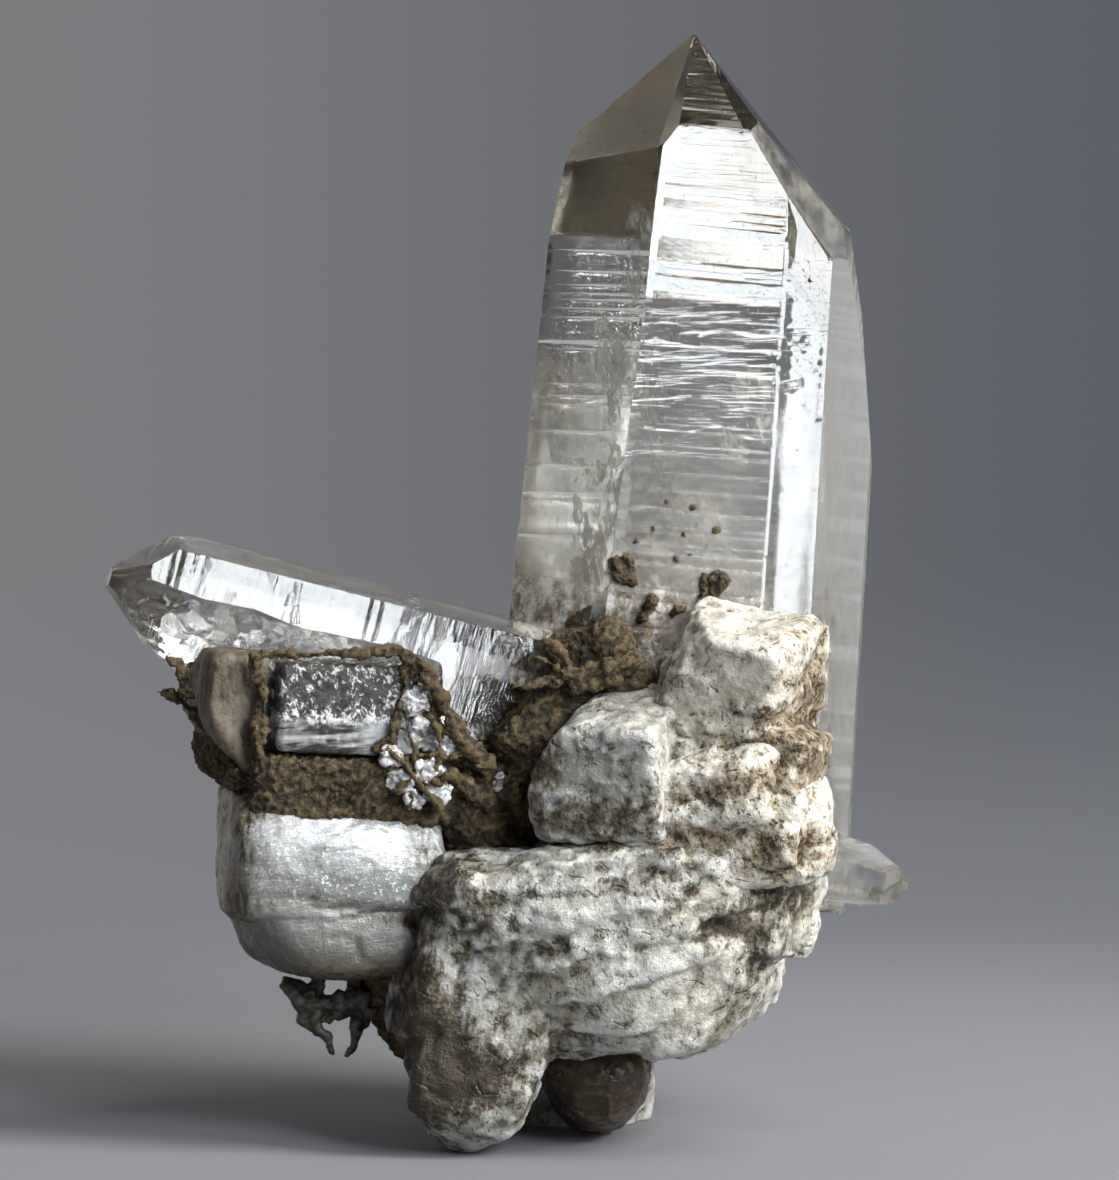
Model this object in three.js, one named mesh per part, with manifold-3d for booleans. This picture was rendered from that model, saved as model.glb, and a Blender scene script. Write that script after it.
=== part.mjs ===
// A Himalayan quartz specimen, about 11 cm tall: a tall clear quartz crystal with a stub of a crystal
// at its foot, a second clear crystal leaning out to the left, and the matrix that they grew from,
// which is pale feldspar in blocks with an iron-stained mica crust in the clefts between them.
//
// Millimetres. +X is to the viewer's right, +Y away from the viewer and +Z up. The origin is on the
// resting surface, under the middle of the specimen.
import * as THREE from "three";
import { ConvexGeometry } from "three/addons/geometries/ConvexGeometry.js";
import { mergeVertices } from "three/addons/utils/BufferGeometryUtils.js";
import Module from "manifold-3d";

const wasm = await Module();
wasm.setup();

// Driving dimensions
const contactGap = 0.3; // left between two pieces that touch
const sameCorner = 0.02; // corners of a crystal closer than this are one
const wornWidth = 200; // what is worn off below the resting surface
const wornDepth = 12;

// A crystal's faces are [side, lean, distance]. Side is the way a face looks, in degrees round the
// long axis from the viewer towards the crystal's own right; lean tips it towards the tip; distance
// is from the axis at the level of "at". Its caps are [side, lean], and all of them meet at the tip.
const tallCrystal = {
  at: [18.9, 8, 69.4],
  axis: [0.068, 0.11, 1],
  tip: [-3.2, -6, 40.5],
  faces: [
    [14, 0.1, 13.2],
    [-46, 2.7, 15.9],
    [-106, 1.5, 15],
    [-166, 1.2, 10.8],
    [134, 0.8, 21.2],
    [74, 0.2, 14.4],
    [-105, 8.7, 17.5],
    [104, 16.6, 20.4],
    [38, 17, 21],
    [60, -62, 82],
  ],
  caps: [
    [14, 38],
    [-49, 32],
    [-108, 47],
    [-166, 37],
    [130, 38],
    [77, 41],
  ],
  foot: 46,
};

const stubCrystal = {
  at: [34, 2, 26.4],
  axis: [0.95, -0.08, -0.22],
  tip: [-0.3, -0.6, 6.5],
  faces: [
    [10, 4, 3],
    [70, 3, 2.9],
    [130, 4, 2.8],
    [190, 3, 2.6],
    [250, 5, 3],
    [310, 5, 3],
  ],
  caps: [
    [10, 38],
    [130, 38],
    [250, 30],
  ],
  foot: 9,
};

const sideCrystal = {
  at: [-9.5, -2, 44.6],
  axis: [-0.932, -0.2, 0.3],
  tip: [2.4, -0.8, 33.7],
  faces: [
    [22, 0.6, 6.2],
    [82, 2.4, 8.9],
    [142, 2, 9],
    [202, 1, 6.4],
    [262, 1, 8],
    [322, 1, 9],
  ],
  caps: [
    [78, 38],
    [10, 41],
    [150, 38],
    [215, 38],
    [282, 34],
  ],
  foot: 15,
};

// Two shells are broken out of the side crystal's lower front. Each leaves a face, as above, and
// runs from "from" along the crystal's axis to past its tip.
const sideBreaks = [
  { face: [-42, -0.5, 0.9], from: 0 },
  { face: [-62, 5, 4.2], from: 15 },
];
const pastCrystal = 40;

// A block of rock is a box with rounded edges: half sizes, turn in degrees about X, Y and Z, and
// more faces that cut it, as [side, lean, distance]. The higher "edge", the sharper its edges. Swell
// is how far its surface waves in and out, as a share of its size; seed picks the waves, and cells
// is how many facets it has along each side. Ledges are [how many, how deep as a share of its size].
const feldsparBlocks = [
  // the broad body
  { at: [9.5, -6, 20.5], half: [19, 15.5, 11.4], turn: [0, -7, 0], edge: 5, swell: 0.05,
    seed: 1, cells: 12, cuts: [[60, -40, 19], [-40, -35, 18]], ledges: [4.5, 0.06] },
  // the lobe in front that it stands on
  { at: [-4, -11, 8.6], half: [7, 8, 11], turn: [0, 8, 0], edge: 5, swell: 0.05,
    seed: 2, cells: 6, cuts: [[-90, -46, 12], [90, -46, 13.4], [0, -52, 12.6]] },
  // the bulge low on the right
  { at: [19.2, -7, 17], half: [8.2, 12, 6.6], turn: [0, -16, 0], edge: 4, swell: 0.04,
    seed: 3, cells: 5, cuts: [[70, -45, 9.8]] },
  // the ledge under the upper blocks
  { at: [21.2, -9, 31.4], half: [10.6, 11, 4.2], turn: [0, -5, 6], edge: 6, swell: 0.04,
    seed: 4, cells: 6 },
  // the right flank
  { at: [23.2, -5, 25.5], half: [5.4, 11, 6.6], turn: [0, 16, 0], edge: 4, swell: 0.05,
    seed: 5, cells: 4 },
  // the middle block
  { at: [10.6, -15, 39], half: [8, 7.6, 6.4], turn: [0, -5, 8], edge: 7, swell: 0.04,
    seed: 6, cells: 7, cuts: [[-90, 40, 9]] },
  // the upper block, at the foot of the tall crystal
  { at: [23, -13.5, 44.6], half: [9.2, 8.2, 8.8], turn: [0, 4, -6], edge: 7, swell: 0.04,
    seed: 7, cells: 7, cuts: [[80, -22, 8]], ledges: [3, 0.05] },
  // the lump between the upper block and the ledge
  { at: [19, -13, 37], half: [9, 8.4, 4], turn: [0, -8, 0], edge: 5, swell: 0.05,
    seed: 8, cells: 4 },
  // the back mass, its foot and the collar behind the tall crystal
  { at: [8.5, 10, 18.6], half: [14, 10.5, 12], turn: [0, 6, 4], edge: 4, swell: 0.06,
    seed: 9, cells: 7 },
  { at: [5, 12.5, 6], half: [8.6, 7.4, 8], turn: [0, 0, 0], edge: 4, swell: 0.06,
    seed: 10, cells: 5 },
  { at: [12.5, 15, 27], half: [13, 6.5, 9], turn: [-8, 8, 0], edge: 5, swell: 0.05,
    seed: 20, cells: 5 },
];

const silkyBlocks = [
  { at: [-17.9, -5.5, 26.3], half: [11, 9.8, 9.5], turn: [0, 2, 6], edge: 7, swell: 0.03,
    seed: 11, cells: 8, cuts: [[-70, -42, 13.6]], ledges: [3, 0.05] },
];

const etchedBlocks = [
  { at: [-21.6, -5, 42.8], half: [12.6, 7.8, 7.6], turn: [0, 6, 8], edge: 9, swell: 0.03,
    seed: 12, cells: 7, cuts: [[-80, -46, 11.4]] },
];

const crustBlocks = [
  // in the cleft between the left and right blocks
  { at: [-4, 2, 34.6], half: [9, 9.5, 10], turn: [0, 0, 0], edge: 3, swell: 0.1,
    seed: 13, cells: 6 },
  { at: [-1.5, -8, 34.6], half: [5.6, 5, 5.4], turn: [0, 0, 0], edge: 3, swell: 0.1,
    seed: 21, cells: 4 },
  // the band between the two left blocks
  { at: [-14, -2, 35.6], half: [11.5, 8.6, 4.6], turn: [0, 4, 0], edge: 4, swell: 0.09,
    seed: 14, cells: 6 },
  // at the foot of the tall crystal, and the ridge from there to the side crystal
  { at: [8.4, -9, 47.2], half: [6.2, 6, 5.4], turn: [0, -10, 0], edge: 3, swell: 0.1,
    seed: 15, cells: 5 },
  { at: [3.4, -7, 42.2], half: [5.6, 6.4, 3.8], turn: [0, -48, 0], edge: 3, swell: 0.1,
    seed: 16, cells: 5 },
  // behind the left blocks
  { at: [-13, 8, 29], half: [13, 12, 14], turn: [0, 0, 0], edge: 3, swell: 0.08,
    seed: 17, cells: 6 },
  // beside the flake
  { at: [-9.5, -1, 16.5], half: [5.5, 7, 9], turn: [0, -24, 0], edge: 3, swell: 0.08,
    seed: 18, cells: 5 },
];

const smokyBlocks = [
  { at: [8.8, -3.5, 5.2], half: [5.6, 7, 6.6], turn: [0, 0, 0], edge: 3, swell: 0.04,
    seed: 19, cells: 6, cuts: [[70, -48, 7.6]] },
];

// The thin lacy flake of mica that hangs under the left block: a ragged outline with two holes.
const flake = {
  at: [-16.3, -3, 13.5],
  thick: 2.4,
  turn: 8,
  outline: [
    [-6.4, 2.6], [-3.9, 3.4], [-3.3, 4.9], [3.5, 5.4], [6.6, 4.6], [7, -3.2], [4.2, -0.6],
    [3.2, -0.2], [2.5, -3.6], [1.2, -4.4], [0.5, -3.4], [0.9, -1.2], [-1.2, -1.1], [-1, -2.6],
    [-0.1, -4.7], [-1.2, -4.5], [-2.9, -1.9],
  ],
  holes: [
    [0.4, 3.2, 1.6, 0.7],
    [3.9, 2.9, 0.9, 0.75],
  ],
};

// Shapes
const radians = THREE.MathUtils.degToRad;
const nearlyZero = 1e-5;

// Turns a closed geometry into a solid that can be joined and cut.
function solidOf(geometry) {
  const bare = geometry.clone();
  bare.deleteAttribute("normal");
  bare.deleteAttribute("uv");
  const merged = mergeVertices(bare);
  return new wasm.Manifold(
    new wasm.Mesh({
      numProp: 3,
      vertProperties: new Float32Array(merged.attributes.position.array),
      triVerts: new Uint32Array(merged.index.array),
    }),
  );
}

function geometryOf(solid) {
  const mesh = solid.getMesh();
  const geometry = new THREE.BufferGeometry();
  geometry.setAttribute("position", new THREE.BufferAttribute(mesh.vertProperties, 3));
  geometry.setIndex(new THREE.BufferAttribute(mesh.triVerts, 1));
  return geometry;
}

// The plane of a face, in the piece's own frame: points inside it have normal . point <= reach.
function facePlane([side, lean, distance]) {
  const [a, tilt] = [radians(side), radians(lean)];
  const normal = new THREE.Vector3(
    Math.sin(a) * Math.cos(tilt),
    -Math.cos(a) * Math.cos(tilt),
    Math.sin(tilt),
  );
  return { normal, reach: distance * Math.cos(tilt) };
}

function crystalPlanes({ faces, caps, tip, foot }) {
  const tipPoint = new THREE.Vector3(...tip);
  const capPlanes = caps.map(([side, lean]) => {
    const { normal } = facePlane([side, lean, 0]);
    return { normal, reach: normal.dot(tipPoint) };
  });
  const footPlane = { normal: new THREE.Vector3(0, 0, -1), reach: foot };
  return [...faces.map(facePlane), ...capPlanes, footPlane];
}

// Where three planes meet, or null if they don't.
function meet(p, q, r) {
  const across = new THREE.Vector3().crossVectors(q.normal, r.normal);
  const volume = p.normal.dot(across);
  if (Math.abs(volume) < nearlyZero) return null;
  return across
    .multiplyScalar(p.reach)
    .addScaledVector(new THREE.Vector3().crossVectors(r.normal, p.normal), q.reach)
    .addScaledVector(new THREE.Vector3().crossVectors(p.normal, q.normal), r.reach)
    .divideScalar(volume);
}

// The solid inside all its planes: its corners are the meeting points that no plane cuts off.
function insideOf(planes) {
  const corners = [];
  for (let i = 0; i < planes.length; i++)
    for (let j = i + 1; j < planes.length; j++)
      for (let k = j + 1; k < planes.length; k++) {
        const point = meet(planes[i], planes[j], planes[k]);
        if (!point) continue;
        const inside = planes.every((p) => p.normal.dot(point) <= p.reach + nearlyZero);
        if (inside && corners.every((c) => c.distanceTo(point) > sameCorner)) corners.push(point);
      }
  return new ConvexGeometry(corners);
}

// The place of a crystal, with its axis along "axis" and side 0 towards the viewer.
function crystalPlace({ at, axis }) {
  const along = new THREE.Vector3(...axis).normalize();
  const front = new THREE.Vector3(0, -1, 0).addScaledVector(along, along.y).normalize();
  const right = new THREE.Vector3().crossVectors(along, front);
  return new THREE.Matrix4().makeBasis(right, front.negate(), along).setPosition(...at);
}

// A flat-faced crystal. Growing it moves every face out by the same amount.
function crystal(form, grow = 0) {
  const planes = crystalPlanes(form).map((p) => ({ normal: p.normal, reach: p.reach + grow }));
  return solidOf(insideOf(planes).applyMatrix4(crystalPlace(form)));
}

// What broke off a crystal, as a solid to cut from it: the far side of the face that it left.
function brokenOff({ face, from }, form, shrink = 0) {
  const { normal, reach } = facePlane(face);
  const walls = [face[0], face[0] + 90, face[0] - 90].map((side) => facePlane([side, 0, pastCrystal]));
  const planes = [
    ...walls,
    { normal: normal.negate(), reach: -reach },
    { normal: new THREE.Vector3(0, 0, -1), reach: -from },
    { normal: new THREE.Vector3(0, 0, 1), reach: pastCrystal },
  ];
  const shrunk = planes.map((p) => ({ normal: p.normal, reach: p.reach - shrink }));
  return solidOf(insideOf(shrunk).applyMatrix4(crystalPlace(form)));
}

// A broken crystal; growing it moves every face out, those that the breaks left too.
function brokenCrystal(form, breaks, grow = 0) {
  return breaks.reduce(
    (left, shell) => left.subtract(brokenOff(shell, form, grow)),
    crystal(form, grow),
  );
}

// A few slow waves over all directions, from -1 to 1, that differ with the seed.
function waves({ x, y, z }, seed) {
  return (
    0.4 * Math.sin(3.1 * x + 2.3 * z + 1.7 * seed) +
    0.3 * Math.sin(4.3 * y - 3.7 * z + 2.9 * seed) +
    0.3 * Math.sin(6.1 * z + 5.3 * x - 4.1 * y + 0.7 * seed)
  );
}

// A block with rounded edges. In each direction its surface lies where the sum over its planes of
// (height towards the plane / the plane's distance) ^ edge is 1, moved in and out by the waves. Its
// ledges are slanting teeth all the way round, tilted and bent by the same waves.
function block({ at, half, turn, edge, swell, seed, cells, cuts = [], ledges = [0, 0] }, grow = 0) {
  const geometry = new THREE.BoxGeometry(2, 2, 2, cells, cells, cells);
  const position = geometry.attributes.position;
  const [a, b, c] = half.map((size) => size + grow);
  const cutPlanes = cuts.map(facePlane);
  const direction = new THREE.Vector3();
  for (let i = 0; i < position.count; i++) {
    direction.fromBufferAttribute(position, i).normalize();
    const box = [direction.x / a, direction.y / b, direction.z / c].map(Math.abs);
    const cut = cutPlanes.map((p) => Math.max(0, p.normal.dot(direction)) / (p.reach + grow));
    const sum = [...box, ...cut].reduce((total, part) => total + part ** edge, 0);
    const wave = waves(direction, seed);
    const tooth = (ledges[0] * (direction.z - 0.15 * direction.x + 0.1 * wave + 2)) % 1;
    const relief = 1 + swell * wave - ledges[1] * tooth;
    direction.multiplyScalar(relief * sum ** (-1 / edge));
    position.setXYZ(i, ...direction);
  }
  const place = new THREE.Matrix4()
    .makeRotationFromEuler(new THREE.Euler(...turn.map(radians)))
    .setPosition(...at);
  return solidOf(geometry.applyMatrix4(place));
}

function rock(blocks, grow = 0) {
  return blocks
    .map((form) => block(form, grow))
    .reduce((whole, next) => whole.add(next));
}

function flakeSolid({ at, thick, turn, outline, holes }) {
  const shape = new THREE.Shape(outline.map(([x, y]) => new THREE.Vector2(x, y)));
  for (const [x, y, wide, high] of holes)
    shape.holes.push(new THREE.Path().absellipse(x, y, wide, high, 0, 2 * Math.PI));
  const geometry = new THREE.ExtrudeGeometry(shape, {
    depth: thick,
    bevelEnabled: false,
    curveSegments: 5,
  });
  const place = new THREE.Matrix4()
    .makeRotationFromEuler(new THREE.Euler(radians(90), 0, radians(turn), "ZYX"))
    .setPosition(...at);
  return solidOf(geometry.applyMatrix4(place));
}

// Everything that reaches the resting surface is worn flat there.
const wornOff = solidOf(
  new THREE.BoxGeometry(wornWidth, wornWidth, wornDepth).translate(0, 0, -wornDepth / 2),
);

// Each piece gives way to the ones named before it, and keeps clear of them by the contact gap.
const tall = crystal(tallCrystal).add(crystal(stubCrystal));
const tallGrown = crystal(tallCrystal, contactGap).add(crystal(stubCrystal, contactGap));
const side = brokenCrystal(sideCrystal, sideBreaks).subtract(tallGrown);
const sideGrown = brokenCrystal(sideCrystal, sideBreaks, contactGap);
const crystalsGrown = tallGrown.add(sideGrown);
const feldspar = rock(feldsparBlocks).subtract(crystalsGrown).subtract(wornOff);
const feldsparGrown = rock(feldsparBlocks, contactGap);
const silky = rock(silkyBlocks).subtract(feldsparGrown);
const blocksGrown = rock(silkyBlocks, contactGap).add(feldsparGrown);
const etched = rock(etchedBlocks).subtract(sideGrown).subtract(blocksGrown);
const smoky = rock(smokyBlocks).subtract(feldsparGrown).subtract(wornOff);
const crust = rock(crustBlocks)
  .subtract(crystalsGrown)
  .subtract(blocksGrown)
  .subtract(rock(etchedBlocks, contactGap))
  .subtract(rock(smokyBlocks, contactGap));
const lace = flakeSolid(flake).subtract(blocksGrown).subtract(rock(crustBlocks, contactGap));

// The largest body of a cut solid: slivers that a cut leaves are dropped.
function mainBody(solid) {
  return solid.decompose().reduce((best, next) => (next.volume() > best.volume() ? next : best));
}

const clearQuartz = { color: 0xcfcabb, roughness: 0.05, metalness: 0 };
const paleFeldspar = { color: 0xd6d3c9, roughness: 0.6, metalness: 0 };
const silkyFeldspar = { color: 0xdadbdd, roughness: 0.4, metalness: 0 };
const stainedFeldspar = { color: 0x9c8a72, roughness: 0.6, metalness: 0 };
const ironCrust = { color: 0x5d4934, roughness: 0.9, metalness: 0 };
const smokyQuartz = { color: 0x4f4238, roughness: 0.3, metalness: 0 };
const micaFlake = { color: 0x58544c, roughness: 0.5, metalness: 0 };

const specimen = new THREE.Group();
function addPiece(name, solid, finish) {
  const mesh = new THREE.Mesh(
    geometryOf(mainBody(solid)),
    new THREE.MeshStandardMaterial(finish),
  );
  mesh.name = name;
  specimen.add(mesh);
}

addPiece("tall_quartz_crystal", tall, clearQuartz);
addPiece("side_quartz_crystal", side, clearQuartz);
addPiece("feldspar_matrix", feldspar, paleFeldspar);
addPiece("silky_feldspar_block", silky, silkyFeldspar);
addPiece("etched_feldspar_block", etched, stainedFeldspar);
addPiece("iron_stained_crust", crust, ironCrust);
addPiece("smoky_quartz_lump", smoky, smokyQuartz);
addPiece("lacy_mica_flake", lace, micaFlake);

export default specimen;
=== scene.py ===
import bpy
import numpy as np
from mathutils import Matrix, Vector


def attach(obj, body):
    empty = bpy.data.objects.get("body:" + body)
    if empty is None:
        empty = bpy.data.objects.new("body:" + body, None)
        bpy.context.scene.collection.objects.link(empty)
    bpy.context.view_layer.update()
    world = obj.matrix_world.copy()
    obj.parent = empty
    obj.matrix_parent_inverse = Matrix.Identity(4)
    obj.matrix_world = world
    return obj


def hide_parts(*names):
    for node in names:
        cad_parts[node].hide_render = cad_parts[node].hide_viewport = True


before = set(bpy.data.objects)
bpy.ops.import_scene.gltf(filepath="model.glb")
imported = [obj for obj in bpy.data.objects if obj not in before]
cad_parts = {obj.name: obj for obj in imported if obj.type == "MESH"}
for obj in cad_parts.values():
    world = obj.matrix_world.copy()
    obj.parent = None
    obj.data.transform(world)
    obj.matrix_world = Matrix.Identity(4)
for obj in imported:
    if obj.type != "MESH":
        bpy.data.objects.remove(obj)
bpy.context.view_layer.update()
print("frame loaded, nodes:", len(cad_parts))

mm = 0.001
tiny = 1e-7
weldGap = 2e-4    # points of a surface that round to the same multiple of this are one point, mm


# Small tools for points
def unit(vectors):
    return vectors / np.maximum(np.linalg.norm(vectors, axis=-1, keepdims=True), tiny)


# The direction "side" degrees round from the viewer towards the right, tipped up by "lean" degrees.
def directionOf(side, lean):
    a, tilt = np.radians(side), np.radians(lean)
    return np.stack([np.sin(a) * np.cos(tilt), -np.cos(a) * np.cos(tilt), np.sin(tilt)], axis=-1)


def smoothStep(low, high, value):    # 0 below low, 1 above high, eased in between
    share = np.clip((value - low) / (high - low), 0, 1)
    return share * share * (3 - 2 * share)


def turned(points, degrees):    # about X, then Y, then Z, as the blocks of the model are
    a, b, c = np.radians(degrees)
    aboutX = np.array([[1, 0, 0], [0, np.cos(a), -np.sin(a)], [0, np.sin(a), np.cos(a)]])
    aboutY = np.array([[np.cos(b), 0, np.sin(b)], [0, 1, 0], [-np.sin(b), 0, np.cos(b)]])
    aboutZ = np.array([[np.cos(c), -np.sin(c), 0], [np.sin(c), np.cos(c), 0], [0, 0, 1]])
    return points @ (aboutX @ aboutY @ aboutZ).T


# A repeatable random number from 0 to 1 for each lattice corner: the fraction of a large sine of it.
def scatter(corner, seed):
    value = np.sin(corner @ np.array([127.1, 311.7, 74.7]) + 53.3 * seed) * 43758.5453
    return value - np.floor(value)


# Noise from -1 to 1: random numbers at the corners of a lattice, blended smoothly in between.
def noise(points, size, seed):
    place = points / size
    corner = np.floor(place)
    share = place - corner
    share = share * share * (3 - 2 * share)
    total = 0
    for offset in np.ndindex(2, 2, 2):
        weight = np.prod(np.where(np.array(offset) == 1, share, 1 - share), axis=-1)
        total = total + weight * scatter(corner + offset, seed)
    return 2 * total - 1


# The same noise at ever finer sizes, each layer half as strong as the one before.
def roughNoise(points, size, seed, layers):
    parts = [noise(points, size / 2**k, seed + 7 * k) / 2**k for k in range(layers)]
    return sum(parts) / sum(0.5**k for k in range(layers))


def sway(points, size, seed, layers=1):    # noise along all three axes
    return np.stack([roughNoise(points, size, seed + k, layers) for k in range(3)], axis=1)


# For soft spots seen from the front: how far points are from its middle, in its half sizes, squared.
def apartFrom(points, x, z, wide, high):
    return ((points[:, 0] - x) / wide) ** 2 + ((points[:, 2] - z) / high) ** 2


# Space in grains, round points strewn one to a cell. Gives the height of each place in its grain, which
# is a flat chip that tilts along one cleavage direction and stands higher or lower than the next chip,
# and how far the place is from the border with the next grain, in cells.
def grains(points, size, seed):
    place = points / size * [0.8, 0.9, 1.25]
    corner = np.floor(place)
    nearest = np.full(len(points), 9.0)
    second = nearest.copy()
    height = np.zeros(len(points))
    for offset in np.ndindex(3, 3, 3):
        cell = corner + np.array(offset) - 1
        spot = cell + np.stack([scatter(cell, seed + k) for k in (1, 2, 3)], axis=-1)
        reach = np.linalg.norm(place - spot, axis=-1)
        closer = reach < nearest
        choice, slope, step = [scatter(cell, seed + k) for k in (4, 5, 6)]
        tilt = np.where(choice < 0.45, place[:, 2] - spot[:, 2], place[:, 0] - spot[:, 0])
        height = np.where(closer, (2 * slope - 1) * tilt + 0.7 * (step - 0.5), height)
        second = np.minimum(second, np.maximum(nearest, reach))
        nearest = np.minimum(nearest, reach)
    return height, second - nearest


# Meshes
def weld(points, quads):    # joins equal points, and turns a quad with two equal corners to a triangle
    _, first, where = np.unique(np.round(points / weldGap), axis=0, return_index=True, return_inverse=True)
    quads = where.reshape(-1)[quads]
    return points[first], quads


def gridQuads(rows, columns, closed):    # the quads of a grid of points, closed round its columns or not
    across = columns if closed else columns - 1
    row, column = np.meshgrid(np.arange(rows - 1), np.arange(across), indexing="ij")
    beside = (column + 1) % columns
    quads = [row * columns + column, row * columns + beside]
    quads += [(row + 1) * columns + beside, (row + 1) * columns + column]
    return np.stack(quads, axis=-1).reshape(-1, 4)


def together(surfaces):    # several surfaces as one list of points and one of quads
    counts = np.cumsum([0] + [len(points) for points, _ in surfaces])
    quads = [quads + start for (_, quads), start in zip(surfaces, counts)]
    return np.concatenate([points for points, _ in surfaces]), np.concatenate(quads)


def added(name, data):    # a new object in the scene
    made = bpy.data.objects.new(name, data)
    bpy.context.scene.collection.objects.link(made)
    return made


def meshOf(name, points, quads):    # in a quad, a corner that equals the next one is left out
    kept = quads != np.roll(quads, -1, axis=1)
    sound = kept.sum(axis=1) >= 3
    kept, quads = kept[sound], quads[sound]
    counts = kept.sum(axis=1)
    mesh = bpy.data.meshes.new(name)
    mesh.vertices.add(len(points))
    mesh.vertices.foreach_set("co", (points * mm).astype(np.float32).ravel())
    mesh.loops.add(int(counts.sum()))
    mesh.loops.foreach_set("vertex_index", quads[kept].astype(np.int32))
    mesh.polygons.add(len(counts))
    mesh.polygons.foreach_set("loop_start", (np.cumsum(counts) - counts).astype(np.int32))
    mesh.update(calc_edges=True)
    mesh.validate()
    return mesh


# A piece of the part, with the readings that its material asks for. Edges that bend by more than
# "crease" degrees stay sharp.
def makePiece(name, points, quads, finish, replaced, readings, crease=None):
    mesh = meshOf(name, points, quads)
    for label, values in readings.items():
        mesh.attributes.new(label, "FLOAT", "POINT").data.foreach_set("value", values.astype(np.float32))
    mesh.materials.append(finish)
    mesh.polygons.foreach_set("use_smooth", np.ones(len(mesh.polygons), bool))
    if crease is not None:
        mesh.set_sharp_from_angle(angle=np.radians(crease))
    piece = added(name, mesh)
    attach(piece, "root")
    if replaced:
        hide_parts(*replaced)
    print("made", name, "faces:", len(mesh.polygons))


def readValues(items, label, kind, each=1):
    values = np.empty(len(items) * each, kind)
    items.foreach_get(label, values)
    return values


def readBack(piece):    # a piece's points in mm and its quads, with its modifiers applied; the piece goes
    shown = piece.evaluated_get(bpy.context.evaluated_depsgraph_get())
    mesh = shown.to_mesh()
    points = readValues(mesh.vertices, "co", np.float32, 3)
    corners = readValues(mesh.loops, "vertex_index", np.int32)
    starts = readValues(mesh.polygons, "loop_start", np.int32)
    counts = np.diff(np.append(starts, len(corners)))
    steps = np.minimum(np.arange(4)[None, :], counts[:, None] - 1)
    quads = corners[starts[:, None] + steps]
    points = points.reshape(-1, 3).astype(float) / mm
    shown.to_mesh_clear()
    bpy.data.objects.remove(piece)
    return points, quads


# Materials. A Reading is a value in a material; sums and products with it lay their own Math nodes.
class Reading:
    def __init__(self, paint, socket):
        self.paint = paint
        self.socket = socket

    def does(self, operation, one, other):
        return self.paint.node("ShaderNodeMath", {"operation": operation}, {0: one, 1: other})

    def __add__(self, other):
        return self.does("ADD", self, other)

    def __sub__(self, other):
        return self.does("SUBTRACT", self, other)

    def __rsub__(self, other):
        return self.does("SUBTRACT", other, self)

    def __mul__(self, other):
        return self.does("MULTIPLY", self, other)

    __radd__ = __add__
    __rmul__ = __mul__

    def between(self, low, high):    # 0 at low, 1 at high, eased
        settings = {"interpolation_type": "SMOOTHSTEP"}
        return self.paint.node("ShaderNodeMapRange", settings, {0: self, 1: low, 2: high})

    def clipped(self):
        return self.paint.node("ShaderNodeClamp", {}, {"Value": self})


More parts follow.
